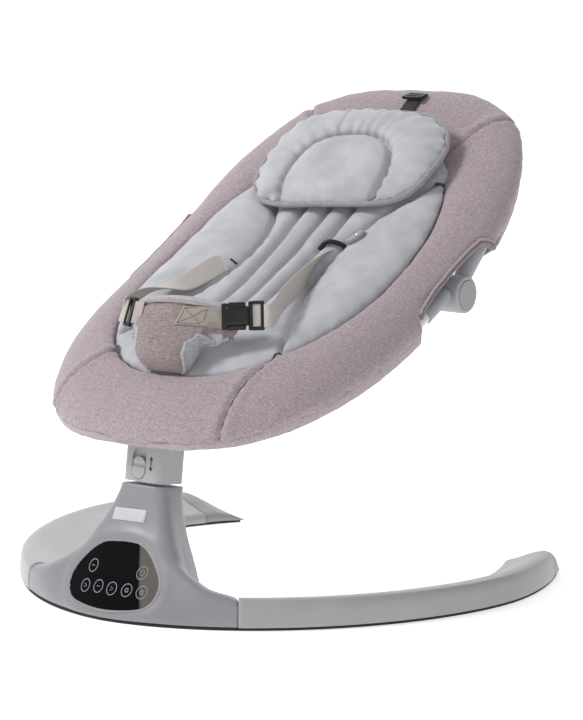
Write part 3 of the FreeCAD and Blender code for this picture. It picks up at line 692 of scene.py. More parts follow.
def rrect(hx, hy, r, seg=8):
    out = []
    for cx, cy, a0 in ((hx - r, hy - r, 0), (-hx + r, hy - r, 90), (-hx + r, -hy + r, 180), (hx - r, -hy + r, 270)):
        for i in range(seg + 1):
            g = radians(a0 + 90.0 * i / seg)
            out.append((cx + r * cos(g), cy + r * sin(g)))
    return out


PW = [-1.0, -18, -38, -58, -80, -112]
PD = [(29.5, 23.5, 0.0, 12), (31.5, 25.0, -0.5, 13), (35.0, 28.5, -2.0, 14), (41.0, 34.0, -4.0, 17), (51.0, 38.0, -5.0, 20), (66.0, 40.0, -6.0, 24)]
secs = []
for w in np.linspace(-1.0, -112, 40):
    hx, hv, sh, r = [interp(-w, [-q for q in PW], [d[k] for d in PD]) for k in range(4)]
    fl = interp(-w, [1, 18, 38, 58, 80, 112], [1.02, 1.20, 1.36, 1.48, 1.50, 1.40])
    secs.append([P(*pf(x * (1 + (fl - 1) * min(1.0, max(0.0, (hv * 0.55 - v) / (1.5 * hv)))), v + sh, w)) for x, v in rrect(hx, hv, r)])
ped = loft_obj("ped_tmp", secs, [SHELL])
arc.select_set(True)
bpy.context.view_layer.objects.active = arc
bm = bmesh.new()
bm.from_mesh(arc.data)
bm.from_mesh(ped.data)
bm.to_mesh(arc.data)
bm.free()
bpy.data.objects.remove(ped)
remesh(arc, 0.0022)
co = get_co(arc)
mm = co * 1000 - np.array([0, DY, 0])
wv = (mm[:, 1] - POST_O.y) * ST + (mm[:, 2] - POST_O.z) * CT
edge = np.clip((-3.5 - wv) / 5.0, 0, 1) * np.clip((mm[:, 2] - 3.2) / 3.0, 0, 1) * np.clip((147.0 - np.abs(mm[:, 0])) / 3.0, 0, 1)
smooth_mesh(arc, 26, 0.5, edge)
PANEL_XZ = [(0, 77), (29, 73), (49, 57), (60, 38), (55, 23.5), (35, 17.5), (0, 15.5), (-33, 17.5), (-51, 23), (-57, 37), (-48, 56), (-29, 72)]
panel_loop = np.array(catmull([(x, z) for x, z in PANEL_XZ], 12, True))


def inside(poly, pts):
    x, y = pts[:, 0], pts[:, 1]
    c = np.zeros(len(pts), bool)
    n = len(poly)
    for i in range(n):
        x1, y1 = poly[i]
        x2, y2 = poly[(i + 1) % n]
        hit = ((y1 > y) != (y2 > y)) & (x < (x2 - x1) * (y - y1) / ((y2 - y1) if y2 != y1 else 1e-9) + x1)
        c ^= hit
    return c


mm = get_co(arc) * 1000 - np.array([0, DY, 0])
dl = dist_poly(mm[:, [0, 2]], np.vstack([panel_loop, panel_loop[:1]]))
ins = inside(panel_loop, mm[:, [0, 2]])
sd = np.where(ins, -dl, dl)
front = mm[:, 1] < -262
push = np.where(front, np.clip((3.0 - sd) / 1.6, 0, 1) * 2.2, 0)
# a soft brow runs round the panel
brow = np.where(front, np.exp(-((sd - 11.0) / 5.0) ** 2) * 1.1, 0)
mm[:, 1] += push - brow
set_co(arc, (mm + np.array([0, DY, 0])) / 1000)
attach(arc, "base"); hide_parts("console_housing")
console_bvh = BVHTree.FromObject(arc, bpy.context.evaluated_depsgraph_get())


def bvh_of(obj):
    me = obj.data
    return BVHTree.FromPolygons([v.co.copy() for v in me.vertices], [tuple(p.vertices) for p in me.polygons])


console_bvh = bvh_of(arc)
panel_bvh = bvh_of(NODES["touch_panel"])


def on_surface(bvh, x, z, lift=0.0003):
    """the first point met from the front, with the surface's normal"""
    h = bvh.ray_cast(P(x, -500, z), Vector((0, 1, 0)))
    if h[0] is None:
        return None
    n = h[1]
    if n.y > 0:
        n = -n
    return h[0] + n * lift, n


def ring_on(name, bvh, cx, cz, r, wd, mat, body, a0=0.0, a1=360.0, lift=0.0003, th=0.0004):
    """a thin printed ring or arc that follows a surface"""
    seg = 40
    v, f = [], []
    closed = abs(a1 - a0) >= 359.9
    n = seg if closed else seg + 1
    for i in range(n):
        g = radians(a0 + (a1 - a0) * i / seg)
        for rr in (r - wd / 2, r + wd / 2):
            p = on_surface(bvh, cx + rr * cos(g), cz + rr * sin(g), lift)
            if p is None:
                return None
            v.append(p[0])
    for i in range(n if closed else n - 1):
        j = (i + 1) % n
        f.append((2 * i, 2 * i + 1, 2 * j + 1, 2 * j))
    o = make(name, v, f, [mat])
    md = o.modifiers.new("t", "SOLIDIFY"); md.thickness = th; md.offset = 0
    apply_mods(o)
    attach(o, body)
    return o


def stroke_on(name, bvh, pts, wd, mat, body, lift=0.0003, th=0.0004):
    """a thin printed stroke through (x, z) points"""
    pts = [np.array(p, float) for p in pts]
    v = []
    for i, p in enumerate(pts):
        d = pts[min(i + 1, len(pts) - 1)] - pts[max(i - 1, 0)]
        d = d / max(np.hypot(*d), 1e-9)
        nrm = np.array([-d[1], d[0]]) * wd / 2
        for q in (p - nrm, p + nrm):
            s = on_surface(bvh, q[0], q[1], lift)
            if s is None:
                return None
            v.append(s[0])
    f = [(2 * i, 2 * i + 1, 2 * i + 3, 2 * i + 2) for i in range(len(pts) - 1)]
    o = make(name, v, f, [mat])
    md = o.modifiers.new("t", "SOLIDIFY"); md.thickness = th; md.offset = 0
    apply_mods(o)
    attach(o, body)
    return o


ICONS = [(-31.5, 51.7), (-33.4, 31.4), (-14.0, 33.3), (5.2, 33.3), (24.7, 33.8), (36.5, 52.0), (43.4, 33.4)]
for i, (x, z) in enumerate(ICONS):
    ring_on("key_ring_%d" % i, panel_bvh, x, z, 6.3, 0.8, ICON, "base", lift=0.0002)
    if i == 5:
        ring_on("key_power_%d" % i, panel_bvh, x, z, 2.6, 0.6, ICON, "base", 120, 420, lift=0.0002)
        stroke_on("key_mark_%d" % i, panel_bvh, [(x, z + 1), (x, z + 3.2)], 0.6, ICON, "base", lift=0.0002)
    elif i in (0, 2):
        stroke_on("key_mark_%d" % i, panel_bvh, [(x - 2.4, z), (x + 2.4, z)], 0.6, ICON, "base", lift=0.0002)
    elif i in (1, 3):
        stroke_on("key_mark_%d" % i, panel_bvh, [(x - 2, z - 2), (x + 2, z), (x - 2, z + 2)], 0.6, ICON, "base", lift=0.0002)
    else:
        ring_on("key_dot_%d" % i, panel_bvh, x, z, 1.8, 0.9, ICON, "base", lift=0.0002)

# blank label on the pedestal
lab = []
for i in range(13):
    for j in range(7):
        x, z = -27 + 45 * i / 12.0, 99 + 13 * j / 6.0 + 0.10 * i
        s = on_surface(console_bvh, x, z, 0.0004)
        lab.append(s[0])
o = make("blank_label", lab, grid_faces(13, 7, False, False), [LABEL])
md = o.modifiers.new("t", "SOLIDIFY"); md.thickness = 0.0004; md.offset = 0
apply_mods(o)
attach(o, "base")

# generic arrow beside the slider
slv_bvh = bvh_of(NODES["post_sleeve"])
for k, pts in enumerate(([(13, 155), (13, 168)], [(11.2, 165.5), (13, 169), (14.8, 165.5)], [(11.2, 157.5), (13, 154), (14.8, 157.5)])):
    stroke_on("slider_arrow_%d" % k, slv_bvh, pts, 0.8, MARK, "swing")


# ---------------------------------------------------------------- seat cover
RIM_FZ = [(0.012, -6), (0.0, 2), (0.05, 13), (0.18, 27), (0.40, 37), (0.68, 43), (0.9, 44), (1.0, 38),
          (1.0, 24), (0.80, 18), (0.45, 12), (0.2, 1), (0.07, -7)]
RIM_SM = chaikin(RIM_FZ, 2)


def rim_section(t, inset=0.0):
    ox, oy = rim_pt(t)
    ix, iy = crest_pt(t)
    c = crest_h(t) - 44.0
    out = []
    for f, d in RIM_SM:
        x, y = ox + (ix - ox) * f, oy + (iy - oy) * f
        out.append(P(x, y, prof(y) + d + c * min(1.0, f * 1.4)))
    return out


WIN = [(-44, 240), (-44, 312), (-38, 318), (-28, 326), (60, 378), (74, 383), (88, 380), (100, 370), (108, 356), (112, 240)]


def window_obj(name, x0, x1):
    pts = WIN
    v = [P(x0, y, z) for y, z in pts] + [P(x1, y, z) for y, z in pts]
    n = len(pts)
    f = [tuple(range(n)), tuple(range(2 * n - 1, n - 1, -1))] + [(i, n + i, n + (i + 1) % n, (i + 1) % n) for i in range(n)]
    o = make(name, v, f, [], smooth=False)
    fix_normals(o)
    return o


def cut_windows(o):
    for k, (x0, x1) in enumerate(((152, 245), (-245, -152))):
        w = window_obj("win_%d" % k, x0, x1)
        m = o.modifiers.new("b", "BOOLEAN")
        m.operation = "DIFFERENCE"
        m.solver = "EXACT"
        m.object = w
        apply_mods(o)
        bpy.data.objects.remove(w)


SEAM_DEG = 56.5
cover = loft_obj("seat_cover", [rim_section(radians(t)) for t in np.linspace(0, 360, 241)[:-1]], [COVER], wrap_n=True)
fix_normals(cover)
cut_windows(cover)
remesh(cover, 0.0055)
mm = get_co(cover) * 1000 - np.array([0, DY, 0])


def ring_coords(mm):
    """angle parameter of points on the rim"""
    ts = np.linspace(0, 2 * pi, 721)[:-1]
    O = np.array([rim_pt(t) for t in ts]); I = np.array([crest_pt(t) for t in ts])
    M = (O + I) / 2
    ang = np.arctan2(M[:, 1] + 10, M[:, 0])
    order = np.argsort(ang)
    t_of = np.interp(np.arctan2(mm[:, 1] + 10, mm[:, 0]), ang[order], ts[order], period=2 * pi)
    return t_of


def seam_lines():
    out = []
    for s in (SEAM_DEG, 180 - SEAM_DEG, -SEAM_DEG, 180 + SEAM_DEG):
        t = radians(s)
        o, i = np.array(rim_pt(t)), np.array(crest_pt(t))
        if s == -SEAM_DEG:
            o, i = np.array(rim_pt(radians(-66))), np.array(crest_pt(radians(-47)))
        # a little bow, as the sewn panels have
        mid = (o + i) / 2 + np.array([-(o - i)[1], (o - i)[0]]) / np.hypot(*(o - i)) * (3.0 if s > 0 and s < 90 or s > 180 or (s < 0 and False) else -3.0)
        ext = o + (o - i) * 0.15
        out.append([i, mid, o, ext])
    return out


SEAMS = seam_lines()
# the rim breathes a little: pinned at its inner edge, underside and windows
low = np.array([prof(y) for y in mm[:, 1]])
cr = np.array([[CREST_A, CREST_B]])
rho = ((np.abs(mm[:, 0]) / CREST_A) ** CREST_N + (np.abs(mm[:, 1] - CREST_YC) / CREST_B) ** CREST_N) ** (1 / CREST_N)
pin = np.where((rho < 1.03) | (mm[:, 2] < low - 2), 1.0, 0.0)
win_poly = np.array(WIN)
dw = dist_poly(mm[:, [1, 2]], win_poly)
pin = np.where((dw < 9) & (np.abs(mm[:, 0]) > 150), 1.0, pin)
ds = np.min([dist_poly(mm[:, :2], s) for s in SEAMS], axis=0)
pin = np.maximum(pin, np.clip(1.0 - ds / 7.0, 0, 1))
puff(cover, 3.5, 20, 0.007, pin)
subdiv(cover, 1)


def carve_cover(o):
    mm = get_co(o) * 1000 - np.array([0, DY, 0])
    no = get_no(o)
    ds = np.min([dist_poly(mm[:, :2], s) for s in SEAMS], axis=0)
    top = mm[:, 2] > np.array([prof(y) for y in mm[:, 1]]) - 4
    groove = -3.6 * np.exp(-(ds / 2.4) ** 2) + 1.4 * np.exp(-((ds - 8) / 5.5) ** 2)
    t = ring_coords(mm)
    # puckers run away from each seam and fade out
    puck = 0.7 * np.exp(-ds / 14.0) * np.sin(mm[:, 2] * 0.42 + mm[:, 1] * 0.25)
    und = 1.3 * fbm(mm, 0.011, 3.0) + 0.5 * fbm(mm, 0.035, 7.0)
    d = und + np.where(top, groove + puck, 0)
    co = mm + no * d[:, None]
    set_co(o, (co + np.array([0, DY, 0])) / 1000)


carve_cover(cover)
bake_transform(cover)
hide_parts("cover_lower", "cover_upper")
cover_bvh = bvh_of(cover)


def skirt_section(t):
    ox, oy = rim_pt(t)
    ix, iy = crest_pt(t)
    l = hypot(ix - ox, iy - oy)
    s = sin(t)
    w = 36.0 - (19.0 if s < 0 else 2.0) * abs(s) ** 4
    d = 20.0 - (8.0 if s < 0 else 0.0) * abs(s) ** 4
    rz = [(2.6, -3.0), (3.4, -9.2 - (d - 9.2) * 0.40), (6.5, -9.2 - (d - 9.2) * 0.78), (w * 0.5, -d + 0.6), (w, -d),
          (w, -d + 2.2), (w * 0.5, -d + 3.0), (9.5, -9.2 - (d - 9.2) * 0.50), (7.5, -9.2 - (d - 9.2) * 0.2), (7.0, -3.0)]
    out = []
    for r, z in chaikin(rz, 2):
        f = r / l
        x, y = ox + (ix - ox) * f, oy + (iy - oy) * f
        out.append(P(x, y, prof(y) + z))
    return out


def t_of_y(y):
    s = (y - RIM_YC) / RIM_B
    return math.degrees(math.asin(abs(s) ** (RIM_N / 2.0)) * sg(s))


for nm, t0, t1, body in (("lower", 180 - t_of_y(-46.0), 360 + t_of_y(-46.0), "swing"), ("upper", t_of_y(113.0), 180 - t_of_y(113.0), "backrest")):
    o = loft_obj("cover_band_" + nm, [skirt_section(radians(t)) for t in np.linspace(t0, t1, 150)], [SKIRT])
    mm = get_co(o) * 1000 - np.array([0, DY, 0])
    no = get_no(o)
    d = 1.2 * fbm(mm, 0.03, 2.0) + 0.5 * fbm(mm, 0.09, 5.0)
    set_co(o, (mm + no * d[:, None] * 0.8 + np.array([0, DY, 0])) / 1000)
    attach(o, body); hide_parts("cover_skirt_" + nm)

# seams on the cover: a fine cord lies in each groove
for k, s in enumerate(SEAMS):
    pts = []
    for q in catmull([tuple(p) for p in s], 14):
        h = cover_bvh.ray_cast(P(q[0], q[1], prof(q[1]) + 160), Vector((0, 0, -1)))
        if h[0] is not None and h[1].z > 0.05:
            pts.append(h[0] - h[1] * 0.0002)
    if len(pts) > 3:
        o = tube("cover_seam_%d" % k, pts, 0.0008, SEAM_AND_GAP_SHADE, seg=6)
        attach(o, "backrest" if q[1] > HINGE_Y else "swing")

# piped edges of the side windows
for sx, nm in ((1, "near"), (-1, "far")):
    arch = [p for p in catmull([(y, z) for y, z in WIN[1:-1]], 10)]
    arch = [(-44, 285), (-44.5, 300)] + [tuple(p) for p in arch] + [(111, 345), (112, 338)]
    pts = []
    for y, z in arch:
        h = cover_bvh.ray_cast(Vector((sx * 0.4, (y + DY) / 1000, (z + 1.5) / 1000)), Vector((-sx, 0, 0)))
        if h[0] is not None and abs(h[0].x) > 0.13:
            x = h[0].x + sx * 0.0004
            pts.append((x, y, z))
    pts = np.array(pts)
    if len(pts) > 10:
        ker = np.ones(5) / 5
        xs = np.convolve(np.pad(pts[:, 0], 2, "edge"), ker, "valid")
        line = [Vector((x, (y + DY) / 1000, z / 1000)) for x, y, z in zip(xs, pts[:, 1], pts[:, 2])]
        o = tube("window_binding_" + nm, line, 0.0044, BINDW, seg=12, flat=0.7)
        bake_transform(o)
        line2 = [p + Vector((sx * 0.0012, 0, 0.0052)) for p in line]
        o = tube("window_piping_" + nm, line2, 0.0016, SKIRT, seg=8)
        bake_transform(o)

# ---------------------------------------------------------------- velvet insert
WING = [(113, -170), (108, -160), (88, -118), (73, -80), (62, -42), (58, -8), (58, 20), (63, 45), (74, 66), (90, 88), (110, 112), (122, 128)]
WING_L = [(-x, y) for x, y in WING]


def insert_half(y):
    s = abs(y - CREST_YC) / CREST_B
    return CREST_A * max(0.0, (1 - min(1, s) ** CREST_N)) ** (1 / CREST_N)


def insert_top(x, y):
    xb = max(insert_half(y), 22.0)
    ce = interp(y, [-225, -100, 60, 185], [36, 41, 41, 28])
    c0 = interp(y, [-225, -190, -120, -20, 60, 130, 185], [35, 35, 35, 35, 35, 31, 25])
    return prof(y) + c0 + (ce - c0) * min(1.0, abs(x) / xb) ** 2.2


ys = np.concatenate([np.linspace(-223.5, -200, 10)[:-1], np.linspace(-200, 160, 60)[:-1], np.linspace(160, 183, 9)])
ks = np.linspace(-1, 1, 41)
v, f = [], []
for y in ys:
    xb = max(insert_half(y) - 0.5, 20.0)
    row = [(k * xb, y, insert_top(k * xb, y)) for k in ks]
    ring = [P(*p) for p in row] + [P(p[0], p[1], p[2] - 13) for p in reversed(row)]
    v.append(ring)
insert = loft_obj("seat_insert", v, [VELVET])
remesh(insert, 0.005)
mm = get_co(insert) * 1000 - np.array([0, DY, 0])
rho = ((np.abs(mm[:, 0]) / CREST_A) ** CREST_N + (np.abs(mm[:, 1] - CREST_YC) / CREST_B) ** CREST_N) ** (1 / CREST_N)
dwg = np.minimum(dist_poly(mm[:, :2], WING), dist_poly(mm[:, :2], WING_L))
chan = np.where((mm[:, 1] > -165) & (mm[:, 1] < 178), np.minimum(np.abs(mm[:, 0] + 2), 99), 99)
pin = np.where((rho > 0.96) | (dwg < 4) | (chan < 4), 1.0, 0.0)
bottom = get_no(insert)[:, 2] < 0.0
pin = np.where(bottom, 1.0, pin)
puff(insert, 5.0, 20, 0.007, pin)
subdiv(insert, 1)


def carve_insert(o):
    mm = get_co(o) * 1000 - np.array([0, DY, 0])
    no = get_no(o)
    xy = mm[:, :2]
    top = no[:, 2] > 0.15
    dwg = np.minimum(dist_poly(xy, WING), dist_poly(xy, WING_L))
    w_at = np.interp(mm[:, 1], [p[1] for p in WING], [p[0] for p in WING])
    centre = np.abs(mm[:, 0]) < w_at
    inrange = (mm[:, 1] > -170) & (mm[:, 1] < 128)
    rho = ((np.abs(mm[:, 0]) / CREST_A) ** CREST_N + (np.abs(mm[:, 1] - CREST_YC) / CREST_B) ** CREST_N) ** (1 / CREST_N)
    rim = (1 - rho) * 150
    # channels bend with the body: slight sway along the length
    sway = 4 * np.sin(mm[:, 1] / 60.0)
    c0 = np.abs(mm[:, 0] + sway * 0.4)
    c1 = np.abs(np.abs(mm[:, 0] + sway * 0.3) - 31 - 2 * np.sin(mm[:, 1] / 35.0))
    cmask = np.clip((mm[:, 1] + 168) / 40, 0, 1) * centre
    d = np.zeros(len(mm))
    puffc = 11.0 * (1 - np.exp(-np.minimum(np.minimum(dwg, c0 * 1.1), c1 * 1.4) / 7.5))
    puffw = 14.5 * (1 - np.exp(-np.minimum(dwg * 0.8, np.maximum(rim, 0) * 0.9) / 11.0))
    d += np.where(centre, puffc * cmask + (1 - cmask) * 5.0 * (1 - np.exp(-np.maximum(rim, 0) / 10.0)), puffw)
    d -= 7.0 * np.exp(-(dwg / 2.8) ** 2) * inrange
    d -= 6.0 * np.exp(-(c0 / 3.0) ** 2) * cmask
    d -= 4.6 * np.exp(-(c1 / 4.2) ** 2) * cmask
    # pulled folds by the seams
    fold = np.sin(mm[:, 1] * 0.33 + 2.0 * fbm(mm, 0.02, 1.0)) * np.exp(-dwg / 16.0) * 0.9
    fold += np.sin((mm[:, 1] + 0.8 * np.abs(mm[:, 0])) * 0.21 + 3.0 * fbm(mm, 0.012, 9.0)) * np.exp(-np.abs(rim) / 14.0) * 0.6
    und = 1.6 * fbm(mm, 0.016, 4.0) + 0.6 * fbm(mm, 0.05, 8.0)
    d += fold + und
    co = mm + no * np.where(top, d, 0)[:, None]
    set_co(o, (co + np.array([0, DY, 0])) / 1000)


carve_insert(insert)
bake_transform(insert)
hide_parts("insert_lower", "insert_upper")
insert_bvh = bvh_of(insert)


def on_seat(x, y, lift=0.0, bvh=None):
    h = (bvh or insert_bvh).ray_cast(P(x, y, prof(y) + 200), Vector((0, 0, -1)))
    if h[0] is None:
        return P(x, y, prof(y) + 45), Vector((0, -0.5, 0.85))
    n = h[1] if h[1].z > 0 else -h[1]
    return h[0] + n * lift / 1000.0, n


# thin seam line between cover and insert
pts = []
for t in np.linspace(0, 360, 241)[:-1]:
    x, y = crest_pt(radians(t))
    x, y = x * 0.999, CREST_YC + (y - CREST_YC) * 0.999
    h = cover_bvh.ray_cast(P(x * 1.012, CREST_YC + (y - CREST_YC) * 1.012, prof(y) + 160), Vector((0, 0, -1)))
    z = h[0].z if h[0] is not None else P(0, 0, prof(y) + 42).z
    pts.append(Vector((x / 1000, (y + DY) / 1000, z - 0.0010)))
# painted shade: a dark band just under the cover–insert boundary closes the gap, where only shade shows
gap_shade_rings = []
for t in np.linspace(0, 360, 241)[:-1]:
    x, y = crest_pt(radians(t))
    ring = []
    for g, h in ((0.950, 33.0), (0.950, 28.0), (1.03, 26.0), (1.03, 31.0)):
        yy = CREST_YC + (y - CREST_YC) * g
        ring.append(P(x * g, yy, prof(y) + h))
    gap_shade_rings.append(ring)
lv = [q for r in gap_shade_rings for q in r]
lo = make("seat_gap_painted_shade", lv, grid_faces(240, 4, True, True), [SEAM_AND_GAP_SHADE])
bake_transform(lo)
o = tube("insert_seam", pts, 0.0015, SEAM_AND_GAP_SHADE, closed=True, seg=6)
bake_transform(o)

# ---------------------------------------------------------------- head pillow
PLA = radians(39.5)
PLY, PLZ = 124.0, prof(124.0) + 50.0
UH, UN = Vector((0, cos(PLA), sin(PLA))), Vector((0, -sin(PLA), cos(PLA)))


def pl(x, s, n):
    q = Vector((x, PLY, PLZ)) + UH * s + UN * n
    return P(q.x, q.y, q.z)


OUT = [(0, -80), (50, -81), (92, -74), (112, -50), (120, -12), (117, 26), (99, 58), (62, 76), (0, 81)]
OUT = [(0, -76), (50, -72), (88, -62), (111, -40), (119, -8), (117, 28), (99, 59), (62, 77), (0, 81)] + [(-x, s) for x, s in reversed(OUT[1:-1])]
OUTC = np.array(catmull(OUT, 10, True))


def puffy_plate(name, outline, place, thick, mats, rings=14, power=2.6, base=0.0):
    """a crowned plate over an outline, closed, flatter below than above"""
    outline = np.array(outline)
    c = outline.mean(0)
    n = len(outline)
    v, f = [], []
    for side in (1, -1):
        for i in range(rings):
            k = i / rings
            h = thick * 0.5 * (1 - k ** power) ** 0.6
            for p in outline:
                q = c + (p - c) * k if i else c
                v.append(place(q[0], q[1], base + side * h * (1.0 if side > 0 else 0.8)))
    off = rings * n
    for p in outline:
        v.append(place(p[0], p[1], base))
    for s, flip in ((0, False), (1, True)):
        o0 = s * off
        for i in range(rings):
            for j in range(n):
                a_, b_ = o0 + i * n + j, o0 + i * n + (j + 1) % n
                if i == rings - 1:
                    c_, d_ = 2 * off + (j + 1) % n, 2 * off + j
                else:
                    c_, d_ = o0 + (i + 1) * n + (j + 1) % n, o0 + (i + 1) * n + j
                f.append((a_, d_, c_, b_) if flip else (a_, b_, c_, d_))
    o = make(name, v, f, mats)
    bm = bmesh.new()
    bm.from_mesh(o.data)
    bmesh.ops.remove_doubles(bm, verts=bm.verts, dist=1e-5)
    bmesh.ops.recalc_face_normals(bm, faces=bm.faces)
    bm.to_mesh(o.data)
    bm.free()
    return o


pillow = puffy_plate("head_cushion", OUTC, pl, 23, [VELVET_P], power=3.4, base=11.0)
remesh(pillow, 0.004)
D_LINE = [(-62, -79), (-68, -40), (-62, -2), (-40, 22), (-8, 30), (24, 28), (50, 12), (64, -14), (68, -46), (62, -79)]
D_SM = [tuple(p) for p in catmull(D_LINE, 8)]


def pillow_xy(mm):
    d = mm - np.array([0, PLY, PLZ])
    return np.stack([d[:, 0], d @ np.array(UH)], 1), d @ np.array(UN)


mm = get_co(pillow) * 1000 - np.array([0, DY, 0])
xy, nn = pillow_xy(mm)
dd = dist_poly(xy, D_SM)
do = dist_poly(xy, np.vstack([OUTC, OUTC[:1]]))
pin = np.where((do < 3.0), 1.0, 0.0)
pin = np.maximum(pin, np.where(dd < 3.0, 1.0, 0.0))
puff(pillow, 5.0, 20, 0.009, pin)
subdiv(pillow, 1)
mm = get_co(pillow) * 1000 - np.array([0, DY, 0])
no = get_no(pillow)
xy, nn = pillow_xy(mm)
dd = dist_poly(xy, D_SM)
do = dist_poly(xy, np.vstack([OUTC, OUTC[:1]]))
insD = inside(np.array(D_SM), xy)
up = (no @ np.array(UN)) > 0.1
ang = np.arctan2(xy[:, 1] + 25, xy[:, 0])
d = -7.0 * np.exp(-(dd / 3.0) ** 2)
d += np.where(insD, 10.0, 7.5) * (1 - np.exp(-dd / 10.0)) * (1 - np.exp(-do / 9.0))
# radial puckers round the horseshoe
d += np.where(insD, 0.4, 2.3) * np.sin(ang * 30 + 2.5 * fbm(mm, 0.02, 2.0)) * np.exp(-np.minimum(dd, do) / 11.0)
d += 1.0 * fbm(mm, 0.03, 6.0)
seam_r = dist_poly(xy, [(-30, 25), (-36, 82)])
seam_r2 = dist_poly(xy, [(64, -20), (118, -22)])
d -= 2.2 * np.exp(-(seam_r / 2.0) ** 2)
d = np.where(up, d, 0.6 * fbm(mm, 0.03, 6.0))
set_co(pillow, (mm + no * d[:, None] + np.array([0, DY, 0])) / 1000)
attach(pillow, "backrest"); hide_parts("head_pillow")
o = tube("pillow_binding", [pl(x, s, 11.0 + 1.2 * sin(i * 0.21)) for i, (x, s) in enumerate(OUTC)], 0.0034, BIND_PILLOW, closed=True, seg=12)
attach(o, "backrest")


# ---------------------------------------------------------------- straps
def ribbon(name, pts, width, th, mat, per=10):
    """flat woven strap through (point, width direction) pairs, points in metres"""
    cs = catmull([tuple(p) for p, w in pts], per)
    ws = catmull([tuple(w) for p, w in pts], per)
    n = len(cs)
    v, uv = [], []
    L = 0.0
    cols = 7
    for i in range(n):
        p = Vector(cs[i])
        d = Vector(cs[min(i + 1, n - 1)]) - Vector(cs[max(i - 1, 0)])
        d.normalize()
        w = Vector(ws[i])
        w = (w - d * w.dot(d)).normalized()
        nn = d.cross(w).normalized()
        if i:
            L += (Vector(cs[i]) - Vector(cs[i - 1])).length
        prof_ = [(-0.5, 0.25), (-0.46, 0.5), (-0.3, 0.5), (0, 0.46), (0.3, 0.5), (0.46, 0.5), (0.5, 0.25)]
        top = [(p + w * (q * width) + nn * (h * th)) for q, h in prof_]
        bot = [(p + w * (q * width) - nn * (h * th)) for q, h in reversed(prof_)]
        v += top + bot
        uv += [(q * width, L) for q, h in prof_] + [(q * width, L) for q, h in reversed(prof_)]
    m = 2 * cols
    f = grid_faces(n, m, False, True)
    f.append(tuple(range(m)))
    f.append(tuple((n - 1) * m + i for i in range(m - 1, -1, -1)))
    o = make(name, v, f, [mat], uvs=uv)
    fix_normals(o)
    return o


# black strap over the head end with its buckle
hs = []
for y, lift in ((176, 0), (196, 0), (208, 1.0), (217, 1.2), (226, 1.4), (234, 1.6), (241, 1.8)):
    if y < 200:
        p = pl(8, 70 + (y - 176) * 0.8, 13.0 - (y - 176) * 0.25)
    else:
        h = cover_bvh.ray_cast(P(8, y, prof(y) + 160), Vector((0, 0, -1)))
        p = (h[0] + h[1] * (0.0012 + lift / 1000)) if h[0] is not None else P(0, y, prof(y) + 30)
    hs.append((p, (1, 0, 0)))
o = ribbon("pillow_strap_web", hs, 0.020, 0.0014, WEBK)
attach(o, "backrest"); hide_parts("pillow_strap")
strap_end = hs[-2][0]


def rounded_box(name, sx, sy, sz, mat, org, ex, ey, ez, bevel=0.0015, seg=3):
    bm = bmesh.new()
    bmesh.ops.create_cube(bm, size=1.0)
    for vv in bm.verts:
        vv.co = Vector((vv.co.x * sx, vv.co.y * sy, vv.co.z * sz))
    bmesh.ops.bevel(bm, geom=list(bm.edges), offset=bevel, segments=seg, affect="EDGES", profile=0.6)
    me = bpy.data.meshes.new(name)
    bm.to_mesh(me)
    bm.free()
    me.materials.append(mat)
    me.polygons.foreach_set("use_smooth", [True] * len(me.polygons))
    o = bpy.data.objects.new(name, me)
    bpy.context.scene.collection.objects.link(o)
    M = Matrix((ex, ey, ez)).transposed().to_4x4()
    M.translation = org
    me.transform(M)
    return o


def join(objs, name):
    bm = bmesh.new()
    for q in objs:
        bm.from_mesh(q.data)
    keep = objs[0]
    bm.to_mesh(keep.data)
    bm.free()
    for q in objs[1:]:
        bpy.data.objects.remove(q)
    keep.name = name
    keep.data.polygons.foreach_set("use_smooth", [True] * len(keep.data.polygons))
    return keep


# small slide on the head strap
EX, EYH, EZH = Vector((1, 0, 0)), Vector((0, cos(radians(12)), sin(radians(12)))), Vector((0, -sin(radians(12)), cos(radians(12))))
bo = strap_end + EZH * 0.0030
parts = [rounded_box("b", 0.026, 0.003, 0.004, BLACKP, bo + EYH * q, EX, EYH, EZH, 0.001) for q in (-0.007, 0.0, 0.007)]
parts += [rounded_box("b", 0.003, 0.017, 0.004, BLACKP, bo + EX * q, EX, EYH, EZH, 0.001) for q in (-0.0118, 0.0118)]
o = join(parts, "pillow_slide")
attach(o, "backrest"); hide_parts("pillow_buckle")

# ---------------------------------------------------------------- crotch pad
CPA = radians(70.5)
CU, CN = Vector((0, cos(CPA), sin(CPA))), Vector((0, -sin(CPA), cos(CPA)))
CPO = Vector((0, -215.1, 247.6))
CP_RO = 110.0


def bow(x):
    return CP_RO - sqrt(CP_RO * CP_RO - x * x) if x > 0 else x * x / 390.0


def cp(x, s, n):
    q = CPO + CU * s + CN * (n - bow(x))
    return P(q.x + x, q.y, q.z)


BAND = [(0, 40), (44, 40), (60, 43), (68, 52), (69, 68), (63, 79), (34, 83.5), (0, 84.5)]
BAND = BAND + [(-34, 83.5), (-62, 79), (-69, 68), (-71, 54), (-72, 44), (-64, 36), (-44, 37)]
BANDC = np.array(catmull(BAND, 8, True))
band = puffy_plate("crotch_cushion", BANDC, lambda x, s, n: cp(x, s, n + 9.0), 15, [LINEN], rings=18, power=4.5)
POM = [(255.5, -231, -216, 27), (260, -233.5, -213, 30.5), (266, -238, -208, 33), (273, -241.5, -203, 34.5), (281, -242.5, -199, 35.5),
       (288, -239, -197, 37), (294, -232, -196.5, 39.5), (300, -223, -197, 43), (306, -215.5, -198, 46), (312, -211, -199, 47)]


